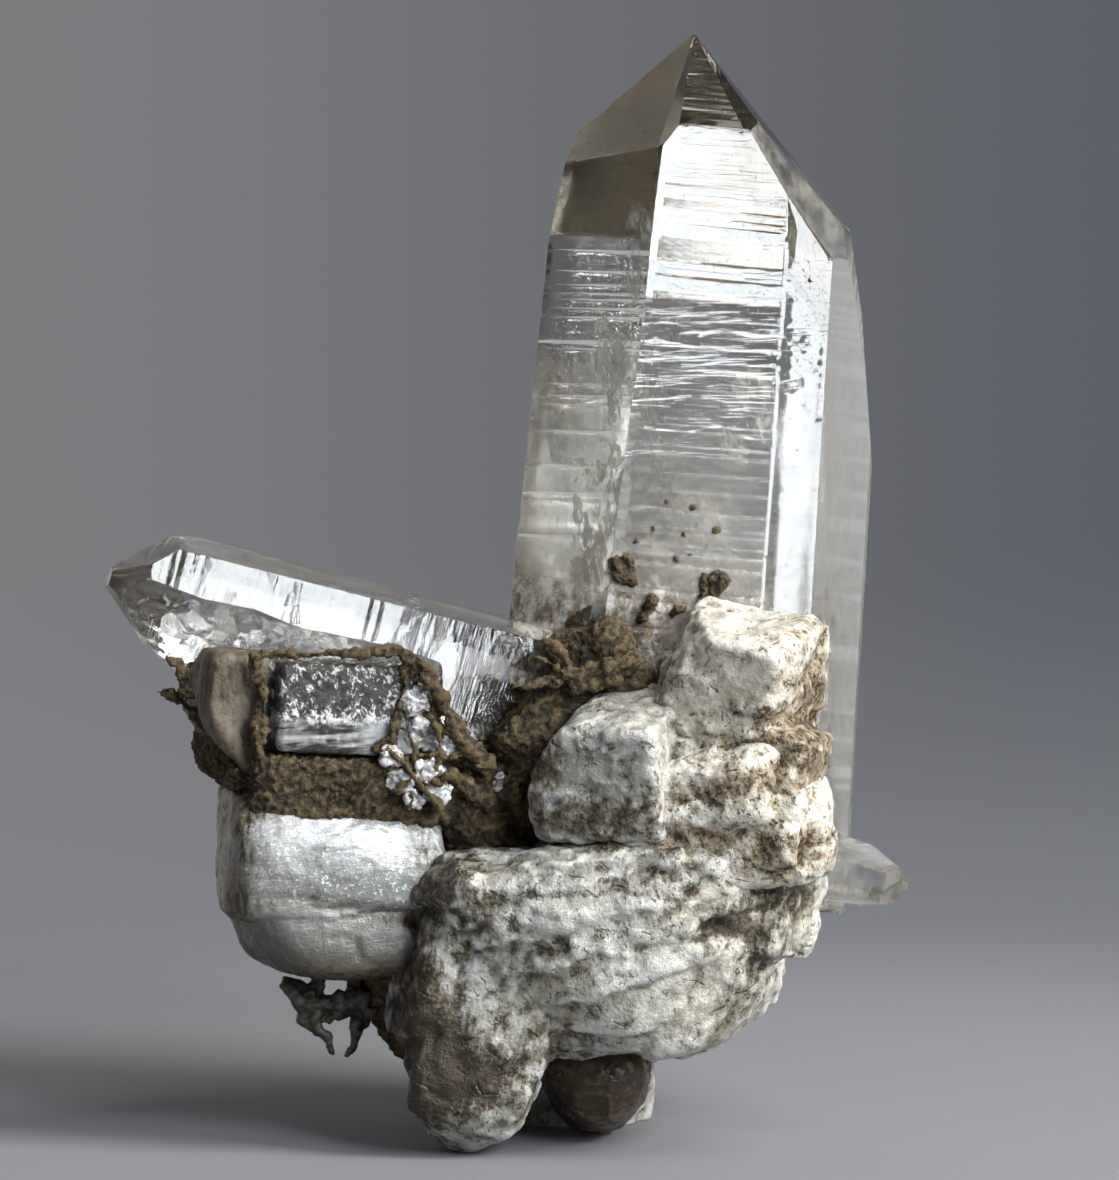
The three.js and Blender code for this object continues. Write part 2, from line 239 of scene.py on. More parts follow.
class Paint:
    def __init__(self, owner):    # owner is a material or the world
        owner.use_nodes = True
        self.owner = owner
        self.tree = owner.node_tree
        self.tree.nodes.clear()

    def placed(self):    # lets a material read places in mm
        spot = self.node("ShaderNodeTexCoord", {}, {}, "Object")
        self.place = self.node("ShaderNodeMapping", {}, {"Vector": spot, "Scale": (1 / mm,) * 3})
        return self

    # Any node: its settings are made first, then the values or links of its sockets.
    def node(self, kind, settings, inputs, output=0):
        made = self.tree.nodes.new(kind)
        for key, value in settings.items():
            setattr(made, key, value)
        for key, value in inputs.items():
            if isinstance(value, Reading):
                self.tree.links.new(value.socket, made.inputs[key])
            else:
                made.inputs[key].default_value = value
        return Reading(self, made.outputs[output]) if len(made.outputs) else None

    def mix(self, share, one, other):    # colours; share 0 is one and 1 is other
        one, other = [(*c, 1) if isinstance(c, tuple) else c for c in (one, other)]
        settings = {"data_type": "RGBA", "clamp_factor": True}
        return self.node("ShaderNodeMix", settings, {0: share, 6: one, 7: other}, 2)

    def layered(self, base, look, layers):    # colours of the look over a base, each with its own share
        for label, share in layers:
            base = self.mix(share, base, look[label])
        return base

    def over(self, share, one, other):    # surfaces; share 0 is one and 1 is other
        return self.node("ShaderNodeMixShader", {}, {0: share, 1: one, 2: other})

    def clear(self):
        return self.node("ShaderNodeBsdfTransparent", {}, {})

    def along(self, axis):    # how far the place is along X, Y or Z, which are 0, 1 and 2
        return self.node("ShaderNodeSeparateXYZ", {}, {0: self.place}, axis)

    def flow(self, turn, stretch):    # the place, turned by degrees and then stretched
        way = self.place
        if any(turn):
            angles = tuple(float(a) for a in np.radians(turn))
            way = self.node("ShaderNodeMapping", {}, {"Vector": way, "Rotation": angles})
        if stretch != (1, 1, 1):
            way = self.node("ShaderNodeMapping", {}, {"Vector": way, "Scale": stretch})
        return way

    # Noise about 0.5: its size in mm, layers of detail, how rough, and how stretched, turned and warped.
    def speckle(self, size, detail, rough, stretch=(1, 1, 1), turn=(0, 0, 0), warp=0.0):
        inputs = {"Vector": self.flow(turn, stretch), "Scale": 1 / size, "Detail": detail}
        return self.node("ShaderNodeTexNoise", {}, {**inputs, "Roughness": rough, "Distortion": warp})

    # Thin ragged lines between grains: 1 in a line, 0 inside a grain.
    def cracks(self, size, width, stretch, turn, ragged):
        way = self.flow(turn, stretch)
        inputs = {"Vector": way, "Scale": 1.3 / size, "Detail": 4.0}
        bend = self.node("ShaderNodeTexNoise", {}, inputs, "Color")
        inputs = {0: bend, 1: (ragged * size,) * 3, 2: way}
        way = self.node("ShaderNodeVectorMath", {"operation": "MULTIPLY_ADD"}, inputs)
        inputs = {"Vector": way, "Scale": 1 / size}
        border = self.node("ShaderNodeTexVoronoi", {"feature": "DISTANCE_TO_EDGE"}, inputs)
        return 1 - border.between(0, width)

    def reading(self, label):
        return self.node("ShaderNodeAttribute", {"attribute_name": label}, {}, "Fac")

    def bump(self, height, depth):    # depth in mm
        return self.node("ShaderNodeBump", {}, {"Height": height, "Distance": depth * mm, "Strength": 1.0})

    def principled(self, **sockets):
        names = {key.replace("_", " "): value for key, value in sockets.items()}
        return self.node("ShaderNodeBsdfPrincipled", {}, names)

    def finished(self, surface, volume=None):
        inputs = {"Surface": surface}
        if volume is not None:
            inputs["Volume"] = volume
        self.node("ShaderNodeOutputMaterial", {}, inputs)
        return self.owner


def newPaint(name):
    return Paint(bpy.data.materials.new(name)).placed()


# The crystals. Faces are (side, lean, distance): side is the way the face looks, in degrees round the
# long axis from the viewer towards the crystal's right; lean tips it towards the tip; distance is from
# the axis at "at". Caps are (side, lean) and meet at the tip.
frontZones = ([-30, -14, -3, 13, 24, 33], [0.5, 0.2, 0.1, 0.02, 0.08, 0.24])
frontLedges = (-5, 14, 1.3, 0.016)
tallCrystal = {
    "at": (18.9, 8, 69.4), "axis": (0.068, 0.11, 1), "tip": (-3.2, -6, 40.5), "foot": 46,
    "faces": [
        (14, 0.1, 13.2), (18.5, 0.1, 13.47), (-46, 2.7, 15.9), (-106, 1.5, 15), (-166, 1.2, 10.8),
        (134, 0.8, 21.2), (74, 0.2, 14.4), (-105, 8.7, 17.5), (104, 16.6, 20.4), (38, 17, 21),
    ],
    "caps": [(14, 38), (-49, 32), (-108, 47), (-166, 37), (130, 38), (77, 41)],
    "edgeRound": 0.07,
    "rowStep": 0.3,
    "columnStep": 0.7,
    # how far a face stands back from its plane along the height: broad zones of growth
    "zones": {
        14: frontZones, 18.5: frontZones,
        -46: ([-30, -8, 8, 15, 20, 24, 28], [0.15, 0, 0.1, 0.08, 0, 0.02, 0.14]),
    },
    # ledges (from, to, spacing, depth) across each face
    "ledges": {
        14: frontLedges, 18.5: frontLedges,
        74: (-30, 10, 2.2, 0.03), 134: (-30, 6, 2.4, 0.02), -166: (-30, 4, 2.1, 0.02),
        -106: (-30, 4, 2.3, 0.02),
    },
    "linedFrom": 5,    # growth lines are faint below here
    "linedTo": 12,    # and end here
    "faintLines": (134, -166, -46),    # faces with hardly any
    "stainedFrom": -9,    # brown from here down to the foot
    "swirl": 0.03,    # slow unevenness of every face, mm
    "wavy": {134: 0.09, -166: 0.06, -106: 0.08, -46: 0.05},    # and of the faces that wave more
    # how etched a face is, from 0 to 1, towards the tip and towards the foot
    "frost": {
        134: (0.08, 0.3), -166: (0.1, 0.7), -106: (0.03, 0.15), -105: (0.03, 0.15), 74: (0.15, 0.3),
        104: (0.15, 0.25), 38: (0.5, 0.5), -46: (0.05, 0.12), 14: (0, 0.5), 18.5: (0, 0.15),
    },
}

stubCrystal = {
    "at": (34, 2, 26.4), "axis": (0.95, -0.08, -0.22), "tip": (-0.3, -0.6, 6.5), "foot": 9,
    "faces": [(10, 4, 3), (70, 3, 2.9), (130, 4, 2.8), (190, 3, 2.6), (250, 5, 3), (310, 5, 3)],
    "caps": [(10, 38), (130, 38), (250, 30)],
    "edgeRound": 0.06,
    "rowStep": 0.4,
    "columnStep": 0.5,
    "zones": {},
    "ledges": {10: (-9, 4, 1.1, 0.06), 310: (-9, 4, 1.3, 0.06)},
    "swirl": 0.06,
    "frost": {side: (0.4, 0.5) for side in (10, 70, 130, 190, 250, 310)},
}

# The breaks in the side crystal are faces too, but each stands out of the way below "from", and dips
# in to its place over "over" along the axis, as a shell does.
sideCrystal = {
    "at": (-9.5, -2, 44.6), "axis": (-0.932, -0.2, 0.3), "tip": (2.4, -0.8, 34.4), "foot": 15,
    "blunt": 1.3,    # how much of the tip is broken off, mm
    "faces": [
        (22, 0.6, 6.2), (82, 2.4, 8.9), (142, 2, 9), (202, 1, 6.4), (262, 1, 8), (322, 1, 9),
        (-42, -0.5, 0.9), (-62, 5, 4.2),
    ],
    "caps": [(78, 38), (10, 41), (150, 38), (215, 38), (282, 34)],
    "edgeRound": 0.06,
    "rowStep": 0.22,
    "columnStep": 0.45,
    "breaks": {-42: {"from": 0, "over": 2.5, "out": 9}, -62: {"from": 15, "over": 3, "out": 9}},
    "zones": {
        -42: ([-1, 4, 9, 14, 19, 24, 30], [0, 0.3, 0, -0.4, 0.1, -0.3, 0.2]),
        22: ([-14, -2, 5, 11, 17, 23, 28], [0.85, 0.06, 0.1, 0.05, 0.09, 0.04, 0.1]),
    },
    "ledges": {
        22: (-14, 31, 1.3, 0.045), 82: (-14, 28, 1.3, 0.06), 202: (-14, 28, 2.1, 0.06),
        142: (-14, 28, 1.8, 0.06), 262: (-14, 28, 2.4, 0.06),
    },
    "shells": (-42, -62),    # the broken faces, which ripple
    "swirl": 0.015,
    "frost": {
        22: (0.03, 0.2), 82: (0.1, 0.2), 142: (0.2, 0.5), 202: (0.3, 0.6), 262: (0.3, 0.5),
        322: (0.3, 0.4), -42: (0.12, 0.3), -62: (0.4, 0.5),
    },
}


def facesOf(form):    # normals (right, back, along) and reaches of all faces, in order round the axis
    faces = np.array(form["faces"], float)
    caps = np.array([(side, lean, 0) for side, lean in form["caps"]], float)
    table = np.concatenate([faces, caps])
    normals = directionOf(table[:, 0], table[:, 1])
    reaches = table[:, 2] * np.cos(np.radians(table[:, 1]))
    reaches[len(faces):] = normals[len(faces):] @ np.array(form["tip"], float)
    order = np.argsort((table[:, 0] + 180) % 360, kind="stable")
    isCap = np.arange(len(table)) >= len(faces)
    return table[order, 0], normals[order], reaches[order], isCap[order]


# How far each face stands back from its plane at each height: its zones, its ledges, which are flats
# that end in a narrow groove, in groups, and for a break the dip in from outside.
def standBack(form, z, side, isCap):
    back = np.zeros((len(z), len(side)))
    for k, name in enumerate(side):
        if isCap[k]:
            continue
        if name in form["zones"]:
            back[:, k] += np.interp(z, *form["zones"][name])
        if name in form["ledges"]:
            start, end, spacing, depth = form["ledges"][name]
            line = np.stack([z, 0 * z, 0 * z + 30 * spacing], axis=1)
            tooth = (z / spacing + 0.8 * noise(line, 2.9, 2)) % 1
            strength = smoothStep(start, start + 3, z) * smoothStep(end, end - 3, z)
            grouped = smoothStep(-0.1, 0.6, noise(line, 3.4, 40))
            back[:, k] += depth * strength * tooth**5 * grouped
        if name in form.get("breaks", {}):
            shell = form["breaks"][name]
            back[:, k] -= shell["out"] * (1 - smoothStep(-shell["over"], 0, z - shell["from"])) ** 2
    return back


# A crystal is the outline of its cross-section carried along its axis. The outline at each height is
# the polygon inside all the faces' lines there; a face that has no side at that height shrinks to the
# corner that sticks out furthest its way. Every point is then moved out along its own face's normal by
# edgeRound, which leaves a fine bevel along each edge, and the foot's rim is torn up and down. Returns
# points in the model's frame and quads.
def crystalSurface(form):
    side, normals, reaches, isCap = facesOf(form)
    rounding = form["edgeRound"]
    a = np.radians(side)
    across = np.stack([np.sin(a), -np.cos(a)], axis=1)
    along = np.stack([np.cos(a), np.sin(a)], axis=1)
    slant = np.hypot(normals[:, 0], normals[:, 1])
    top = form["tip"][2] - form.get("blunt", 2.5 * rounding)
    z = np.append(np.arange(-form["foot"], top - 0.1, form["rowStep"]), top)
    reach = reaches[None, :] - rounding - standBack(form, z, side, isCap)
    offset = (reach - z[:, None] * normals[None, :, 2]) / slant

    slope = along @ across.T
    facing = across @ across.T
    room = offset[:, None, :] - facing[None] * offset[:, :, None]
    bound = room / np.where(np.abs(slope) > tiny, slope, np.inf)
    end = np.where(slope > tiny, bound, np.inf).min(axis=2)
    start = np.where(slope < -tiny, bound, -np.inf).max(axis=2)
    beaten = ((np.abs(slope) <= tiny) & (facing > 0) & (room < -tiny)).any(axis=2)
    shown = (end - start > tiny) & ~beaten

    foot = across[None] * offset[..., None]
    corners = np.concatenate([foot + along * start[..., None], foot + along * end[..., None]], axis=1)
    valid = np.concatenate([shown, shown], axis=1)
    corners = np.where(valid[..., None], corners, 0)
    score = np.where(valid[:, None, :], np.einsum("ik,rjk->rij", across, corners), -np.inf)
    furthest = np.take_along_axis(corners, score.argmax(axis=2)[..., None], axis=1)
    starts = np.where(shown[..., None], corners[:, :len(side)], furthest)
    ends = np.where(shown[..., None], corners[:, len(side):], furthest)

    rings = []
    for k in range(len(side)):
        width = np.linalg.norm(ends[:, k] - starts[:, k], axis=1)
        count = max(2, int(np.ceil(width.max() / form["columnStep"])))
        share = np.linspace(0, 1, count + 1)[None, :, None]
        flat = starts[:, None, k] * (1 - share) + ends[:, None, k] * share
        points = np.concatenate([flat, np.broadcast_to(z[:, None, None], flat.shape[:2] + (1,))], axis=2)
        inset = np.minimum(share[..., 0], 1 - share[..., 0]) * width[:, None]
        fade = smoothStep(0, 1.5, inset) * (0.0 if isCap[k] else 1.0)
        spot = points.reshape(-1, 3)
        depth = form.get("wavy", {}).get(side[k], form["swirl"])
        waves = depth * noise(spot * [1, 1, 0.5], 4.0, 11 + k)
        if side[k] in form.get("shells", ()):
            ripple = np.sin(spot @ np.array([1.1, 0.6, 0.9]) + 2.2 * noise(spot, 3.0, 5))
            waves = waves + 0.2 * ripple + 0.8 * roughNoise(spot, 2.6, 9, 4)
        lift = rounding + fade * (waves.reshape(fade.shape) - depth)
        rings.append(points + lift[..., None] * normals[k])
    ring = np.concatenate(rings, axis=1)
    tornBy, tornHigh = 1.3, 5    # mm
    torn = roughNoise(ring.reshape(-1, 3) * [1, 1, 0], 3.5, 21, 3).reshape(ring.shape[:2])
    ring[..., 2] += tornBy * torn * smoothStep(tornHigh, 0, z + form["foot"])[:, None]
    closed = [ring[:1].mean(axis=1, keepdims=True), ring[-1:].mean(axis=1, keepdims=True)]
    closed = [np.repeat(end, ring.shape[1], axis=1) for end in closed]
    ring = np.concatenate([closed[0], ring, closed[1]])
    quads = gridQuads(ring.shape[0], ring.shape[1], True)
    return weld(placed(ring.reshape(-1, 3), form), quads)


def axesOf(form):    # the crystal's right, back and long axis in the model's frame
    along = unit(np.array(form["axis"], float))
    front = unit(np.array([0, -1, 0]) + along * along[1])
    return np.stack([np.cross(along, front), -front, along])


def placed(points, form):
    return points @ axesOf(form) + np.array(form["at"], float)


# How far points of the model's frame are inside each face of a crystal, and the faces' normals and sides.
def roomInside(points, form):
    side, normals, reaches, isCap = facesOf(form)
    local = (points - np.array(form["at"], float)) @ axesOf(form).T
    back = standBack({**form, "ledges": {}}, local[:, 2], side, isCap)
    room = reaches - back - local @ normals.T
    room = np.concatenate([room, form["foot"] + local[:, 2:]], axis=1)
    normals = np.concatenate([normals, [[0, 0, -1]]]) @ axesOf(form)
    return room, normals, np.append(side, 0), np.append(isCap, True)


def depthInside(points, form):    # how deep points lie inside a crystal, and the way out from each
    room, normals, _, _ = roomInside(points, form)
    return room.min(axis=1), normals[room.argmin(axis=1)]


# Readings for the quartz: how etched the face is that a point lies on, 1 on the lined side faces, and 1
# where the foot is stained. From the foot to the tip the etching goes over from one of its two values to
# the other.
def faceReadings(points, forms):
    etchSpan = (-25, 20)    # where the etching goes over, mm along the axis
    stainSpan = (27, 23)    # the stain ends to the right between these x
    depths = np.stack([np.abs(depthInside(points, form)[0]) for form in forms])
    frost, lined, foot = [np.zeros(len(points)) for _ in range(3)]
    for k, form in enumerate(forms):
        room, _, side, isCap = roomInside(points, form)
        nearest = room.argmin(axis=1)
        pairs = [(0, 0) if cap else form["frost"].get(s, (0, 0)) for s, cap in zip(side, isCap)]
        tipward, footward = np.array(pairs, float)[nearest].T
        along = (points - np.array(form["at"])) @ axesOf(form)[2]
        etched = footward + (tipward - footward) * smoothStep(*etchSpan, along)
        mine = depths.argmin(axis=0) == k
        frost = np.where(mine, etched, frost)
        end = form.get("linedTo", 99)
        strength = np.where(np.isin(side, form.get("faintLines", ())), 0.2, 1.0) * (1 - isCap)
        start = form.get("linedFrom", -99)
        reached = smoothStep(end + 6, end - 6, along) * (0.3 + 0.7 * smoothStep(start - 8, start, along))
        lined = np.where(mine, strength[nearest] * reached, lined)
        start = form.get("stainedFrom", -99)
        brown = smoothStep(start, start - 9, along) * smoothStep(*stainSpan, points[:, 0])
        foot = np.where(mine, brown, foot)
    return {"frost": frost, "lined": lined, "foot": foot}


# Clear quartz: steps of growth lines across the side faces, small pits, a whitish etched skin, and a
# foot that is stained brown.
def quartzFinish(name, look):
    paint = newPaint(name)
    frost, lined, foot = [paint.reading(label) for label in ("frost", "lined", "foot")]
    turn = look["lineTurn"]
    groups = paint.speckle(5, 3, 0.6, (0.5, 0.5, 1.2), turn).between(0.5, 0.6)
    steps = paint.speckle(look["lineSize"], 3, 0.6, (0.1, 0.1, 1.2), turn).between(0.45, 0.55)
    fine = paint.speckle(look["lineSize"] * 0.45, 3, 0.6, (0.08, 0.08, 1.2), turn).between(0.5, 0.62)
    lines = (steps + fine * 0.5) * lined * (0.07 + groups)
    pits = paint.speckle(0.25, 2, 0.6).between(0.62, 0.75)
    worn = paint.speckle(1.4, 5, 0.7, (1, 1, 0.7))
    skin = frost * (worn.between(0.42, 0.62) * 0.5 + frost * 0.25)
    mottle = paint.speckle(2.2, 5, 0.7).between(0.42, 0.62)
    stained = foot * (mottle * 0.9 + foot * 0.15)
    clear = paint.principled(
        Base_Color=(1, 1, 1, 1), Roughness=0.012 + frost * 0.42, IOR=1.544, Transmission_Weight=1.0,
        Normal=paint.bump(lines * look["lineHeight"] + pits * 0.4 + worn * frost * 6, look["relief"]))
    colour = paint.mix(foot * worn.between(0.4, 0.56), look["skin"], look["brown"])
    pale = paint.principled(Base_Color=colour, Roughness=0.4)
    share = (skin * look["whiteness"] + stained * 0.8).clipped()
    surface = paint.over(share, clear, pale)
    absorbed = {"Color": (*look["colour"], 1), "Density": look["density"]}
    return paint.finished(surface, paint.node("ShaderNodeVolumeAbsorption", {}, absorbed))


quartzLook = {
    "colour": (0.72, 0.65, 0.46),
    "density": 10.5,
    "relief": 0.009,    # depth of the pits and the etching, mm
    "lineHeight": 1.8,    # height of the growth lines, in reliefs
    "lineSize": 1.8,
    "lineTurn": (0, 0, 0),
    "skin": (0.62, 0.61, 0.56),
    "brown": (0.17, 0.105, 0.05),
    "whiteness": 0.5,    # how much of the etched skin covers the glass
}


def joinSolids(one, other):    # the stub grown together with the tall crystal, by a boolean union
    pieces = [added(name, meshOf(name, *solid)) for name, solid in (("one", one), ("other", other))]
    join = pieces[0].modifiers.new("join", "BOOLEAN")
    join.operation = "UNION"
    join.object = pieces[1]
    join.solver = "MANIFOLD"
    pieces[0].modifiers.new("fourSided", "TRIANGULATE").min_vertices = 5
    joined = readBack(pieces[0])
    bpy.data.objects.remove(pieces[1])
    return joined


crystalCrease = 14
clearQuartz = quartzFinish("clearQuartz", quartzLook)
tallPoints, tallQuads = joinSolids(crystalSurface(tallCrystal), crystalSurface(stubCrystal))
makePiece("tall_crystal_with_stub", tallPoints, tallQuads, clearQuartz, ["tall_quartz_crystal"],
          faceReadings(tallPoints, (tallCrystal, stubCrystal)), crystalCrease)
leaningQuartz = quartzFinish("leaningQuartz", {
    **quartzLook, "lineTurn": (0, 72, 0), "lineHeight": 5, "lineSize": 0.7,
})
sidePoints, sideQuads = crystalSurface(sideCrystal)
makePiece("side_crystal", sidePoints, sideQuads, leaningQuartz, ["side_quartz_crystal"],
          faceReadings(sidePoints, (sideCrystal,)), crystalCrease)


# Veils inside the clear crystals, thin wavy sheets of tiny bubbles: (middle, half width and half height,
# turn in degrees about X, Y and Z, seed).
veils = [
    ((13.2, 2, 78), (4.0, 9), (4, 4, -34), 1), ((12.2, 4, 62), (4.5, 10), (-4, 6, -20), 2),
    ((17, 5, 58), (5.5, 8), (6, -8, 12), 3), ((27.5, 2, 66), (2.6, 13), (3, 4, 50), 4),
    ((29, 5, 44), (3, 12), (-3, 4, 60), 5), ((23, 1, 72), (3.5, 6), (-8, 10, 20), 6),
    ((14.4, 0, 88), (2.6, 6), (5, -6, -50), 7), ((20, 3, 52), (6.5, 3.2), (38, 0, 10), 8),
    ((-27, -6, 53.4), (5.5, 2.2), (28, 14, 0), 9), ((-19, -5, 51), (6, 2.4), (-20, 18, 6), 10),
    ((-9, -4, 46.5), (4.5, 3), (10, 22, -8), 11), ((11.4, 1.4, 67), (1.2, 3.4), (0, 4, -30), 12),
]


# A veil is a flat ellipse with a thin rim that waves out of its plane as slow noise does. Its reading
# is 1 in the middle and 0 at the rim.
def veilSurface(at, half, turn, seed):
    thin, wave, waveSize = 0.02, 0.9, 4.0    # mm
    points, quads = blockSurface(block((0, 0, 0), (half[0], thin, half[1]), (0, 0, 0), 2, 0.0), 18)
    rim = 1 - (points[:, 0] / half[0]) ** 2 - (points[:, 2] / half[1]) ** 2
    points[:, 1] += wave * noise(points * [1, 0, 1] + 20 * seed, waveSize, seed)
    return turned(points, turn) + np.array(at, float), quads, rim


def veilFinish(name, colour):
    paint = newPaint(name)
    patches = paint.speckle(4, 3, 0.6, (1, 1, 0.6), (0, 0, 0), 0.4).between(0.42, 0.58)
    wisps = patches * paint.speckle(0.9, 6, 0.75, (1, 1, 0.35), (0, 20, 0), 0.3).between(0.38, 0.6)
    cloud = paint.principled(Base_Color=(*colour, 1), Roughness=0.5)
    share = wisps * paint.reading("rim").between(0, 0.6) * 0.85
    return paint.finished(paint.over(share, paint.clear(), cloud))


# The rock. A block is a box with rounded edges: half sizes, turn in degrees about X, Y and Z, and more
# faces that cut it, (side, lean, distance). The higher "edge", the sharper its edges. Swell is how far
# it waves in and out, as a share of its size; ledges are (how many, how deep as a share of its size).
def block(at, half, turn=(0, 0, 0), edge=4, swell=0.05, seed=1, cuts=(), ledges=(0, 0)):
    return {"at": at, "half": half, "turn": turn, "edge": edge, "swell": swell, "seed": seed,
            "cuts": cuts, "ledges": ledges}


# Relief of a rock's skin, in mm: (size, height) of lumps, of facets, which are flat chips tilted every
# way, of cracks between the chips, of fibres (direction, size, height) and of grain. Dents, calm places
# and stains are soft spots seen from the front: (x, z, half width, half height, how much).
feldsparBody = {
    "blocks": [
        block((9.5, -6, 20.5), (19, 15.5, 11.4), (0, -7, 0), 6, 0.03, 1,
              [(60, -40, 19), (-40, -35, 18)], (4.5, 0.05)),
        block((19.2, -7, 17), (8.2, 12, 6.6), (0, -16, 0), 5, 0.03, 3, [(70, -45, 9.8)]),
        block((23.2, -5, 25.5), (5.4, 11, 6.6), (0, 16, 0), 6, 0.04, 5),
        block((-3.2, -8.5, 17.5), (7.6, 9, 8.5), (0, 16, 8), 5, 0.03, 2),
        block((-3.2, -11, 8.2), (6.2, 7.2, 10.5), (0, 12, 0), 8, 0.03, 2,
              [(-90, -46, 10.6), (90, -50, 11.4), (0, -52, 12.6)]),
        block((19.5, -17.2, 28.6), (2.6, 3, 1.9), (10, -20, -20), 8, 0.04, 41),
        block((26, -13.5, 24.5), (3.4, 5, 4.6), (0, 12, -25), 8, 0.04, 42),
        block((10, -17.5, 30), (7, 3.4, 1.6), (16, -8, 0), 8, 0.04, 46),
    ],
    "voxel": 0.3, "blend": 0.6, "soften": 2,
    "lumps": (5, 0.9), "facets": (3.4, 0.7), "chips": (1.5, 0.34), "cracks": (3.4, 0.3),
    "fibres": ((1, 0, 0.15), 0.9, 0.03), "grain": (0.8, 0.22), "seed": 3,
    "dents": [(20.6, 23.4, 1.5, 1.0, 1.6), (-8.5, 12.5, 3, 1.2, 0.5), (28.2, 26.5, 0.8, 3, 0.8)],
    "calm": [(12, 14.5, 13, 4.5, 0.7), (-2, 2.5, 6, 4, 0.5)],
    "stains": [
        # On the lobe, round (-5, 10), the spots are brown stain made darker as painted shadow under the
        # body, and the wide faint spot at (-4, 12) is painted shade on the lower left.
        (-4.8, 8, 5.4, 3.8, 1.4), (-6.6, 12, 3, 3, 0.7), (-9, 9, 2.2, 8, 0.8), (4.4, 11.6, 3, 2.4, 0.5),
        (-4, 12, 8, 11, 0.3),
        (-9.5, 20, 2.6, 9, 0.7), (-6.5, 28, 4, 3.4, 0.8), (21, 23.3, 3.6, 2, 0.9), (27.5, 27, 3, 5, 0.9),
        (24, 19.5, 2.6, 2.8, 0.5), (12, 32, 12, 1.8, 0.9), (14, 27, 9, 2, 0.4), (6, 17, 4, 5, 0.25),
        (17, 12.5, 5, 1.6, 0.25), (22, 16, 2, 3, 0.4), (-2, 24, 4, 5, 0.25),
    ],
}
feldsparLedge = {
    "blocks": [
        block((21.2, -9, 31.4), (10.6, 11, 4.2), (4, -5, 0), 8, 0.02, 4),
        block((19, -13, 37), (9, 8.4, 4), (6, -8, -14), 6, 0.03, 8),
        block((24.6, -16, 35), (5.4, 4.6, 1.7), (8, -10, -18), 7, 0.04, 26),
        block((23.4, -16.6, 31), (6, 3.6, 2.4), (0, -6, -22), 8, 0.03, 47),
    ],
    "voxel": 0.25, "blend": 0.4, "soften": 2,
    "lumps": (4.5, 0.7), "facets": (3, 0.6), "chips": (1.3, 0.34), "cracks": (2.8, 0.24),
    "fibres": ((0.3, 0, 1), 0.8, 0.08), "grain": (0.7, 0.18), "seed": 7,
    "stains": [
        (28, 30.6, 5, 3.2, 0.7), (21, 30.5, 5, 2, 0.45), (15, 32.5, 7, 1.6, 0.6), (24, 38, 6, 2.8, 0.6),
        (18, 36.4, 6, 2, 0.5),
    ],
}
middleBlock = {
    "blocks": [
        block((10.4, -13.6, 39), (6.8, 7.2, 6), (14, -6, -20), 16, 0.012, 6, [(-90, 40, 7.6)]),
        block((17.5, -13.8, 37.6), (3, 5, 4.6), (6, -10, -20), 8, 0.03, 48),
    ],
    "voxel": 0.24, "blend": 0.2, "soften": 2,
    "lumps": (5.5, 0.45), "facets": (3.2, 0.42), "chips": (1.4, 0.26), "cracks": (3.4, 0.2),
    "fibres": ((0, 0, 1), 0.9, 0.05), "grain": (0.7, 0.14), "seed": 9,
    "stains": [
        (2.8, 39.5, 1.8, 7, 0.8), (10, 33.4, 9, 2.2, 0.8), (18.4, 42, 2.4, 6, 0.5), (9, 39, 5, 4, 0.1),
    ],
}
upperBlock = {
    "blocks": [
        block((22.3, -12.8, 45.6), (7.4, 7.4, 7.6), (12, 4, -24), 12, 0.02, 7,
              [(80, -24, 7.4), (-60, 30, 8.6)], (3, 0.03)),
        block((26, -14.5, 39.4), (4.4, 5.6, 4), (6, 18, -20), 8, 0.04, 27),
        block((20.5, -15.2, 39), (3.8, 5, 2.4), (10, -12, -14), 7, 0.04, 43),
    ],
    "voxel": 0.25, "blend": 0.3, "soften": 2,
    "lumps": (5, 0.6), "facets": (3, 0.55), "chips": (1.3, 0.32), "cracks": (2.8, 0.22),
    "fibres": ((0.45, 0, 1), 0.8, 0.1), "grain": (0.7, 0.16), "seed": 13,
    "stains": [
        (30, 46, 3.2, 7, 0.8), (27.8, 39, 4.6, 3.8, 0.6), (22, 40, 5, 2.6, 0.45), (14.6, 47, 2, 5, 0.4),
        (24.8, 43.4, 3, 2.4, 0.4), (20, 47, 3, 3, 0.05),
    ],
}
feldsparBack = {
    "blocks": [
        block((8.5, 10, 18.6), (14, 10.5, 12), (0, 6, 4), 6, 0.04, 9,
              [(140, 40, 13), (-150, -30, 12.5), (110, -35, 14)], (3, 0.05)),
        block((5, 12.5, 6), (8.6, 7.4, 8), (0, 0, 0), 6, 0.04, 10),
        block((12.5, 15, 27), (13, 6.5, 9), (-8, 8, 0), 7, 0.04, 20, [], (3, 0.04)),
        block((16, 17, 33), (6, 4.4, 4), (-14, -8, 14), 8, 0.04, 49),
    ],
    "voxel": 0.34, "blend": 0.4,
    "soften": 2, "spotSide": -1,    # its stains show from the back
    "lumps": (7, 1.5), "facets": (4.8, 1.0), "chips": (1.7, 0.3), "cracks": (3.6, 0.3),
    "fibres": ((0.2, 0, 1), 0.9, 0.06), "grain": (0.6, 0.1), "seed": 15,
    "stains": [
        (-1, 16, 4, 8, 0.8), (2, 30, 6, 2.6, 0.9), (17, 24, 4, 8, 0.6), (10, 5, 8, 4, 0.8),
        (21, 31, 4, 3, 0.8), (9, 19, 5, 3, 0.5),
    ],
}
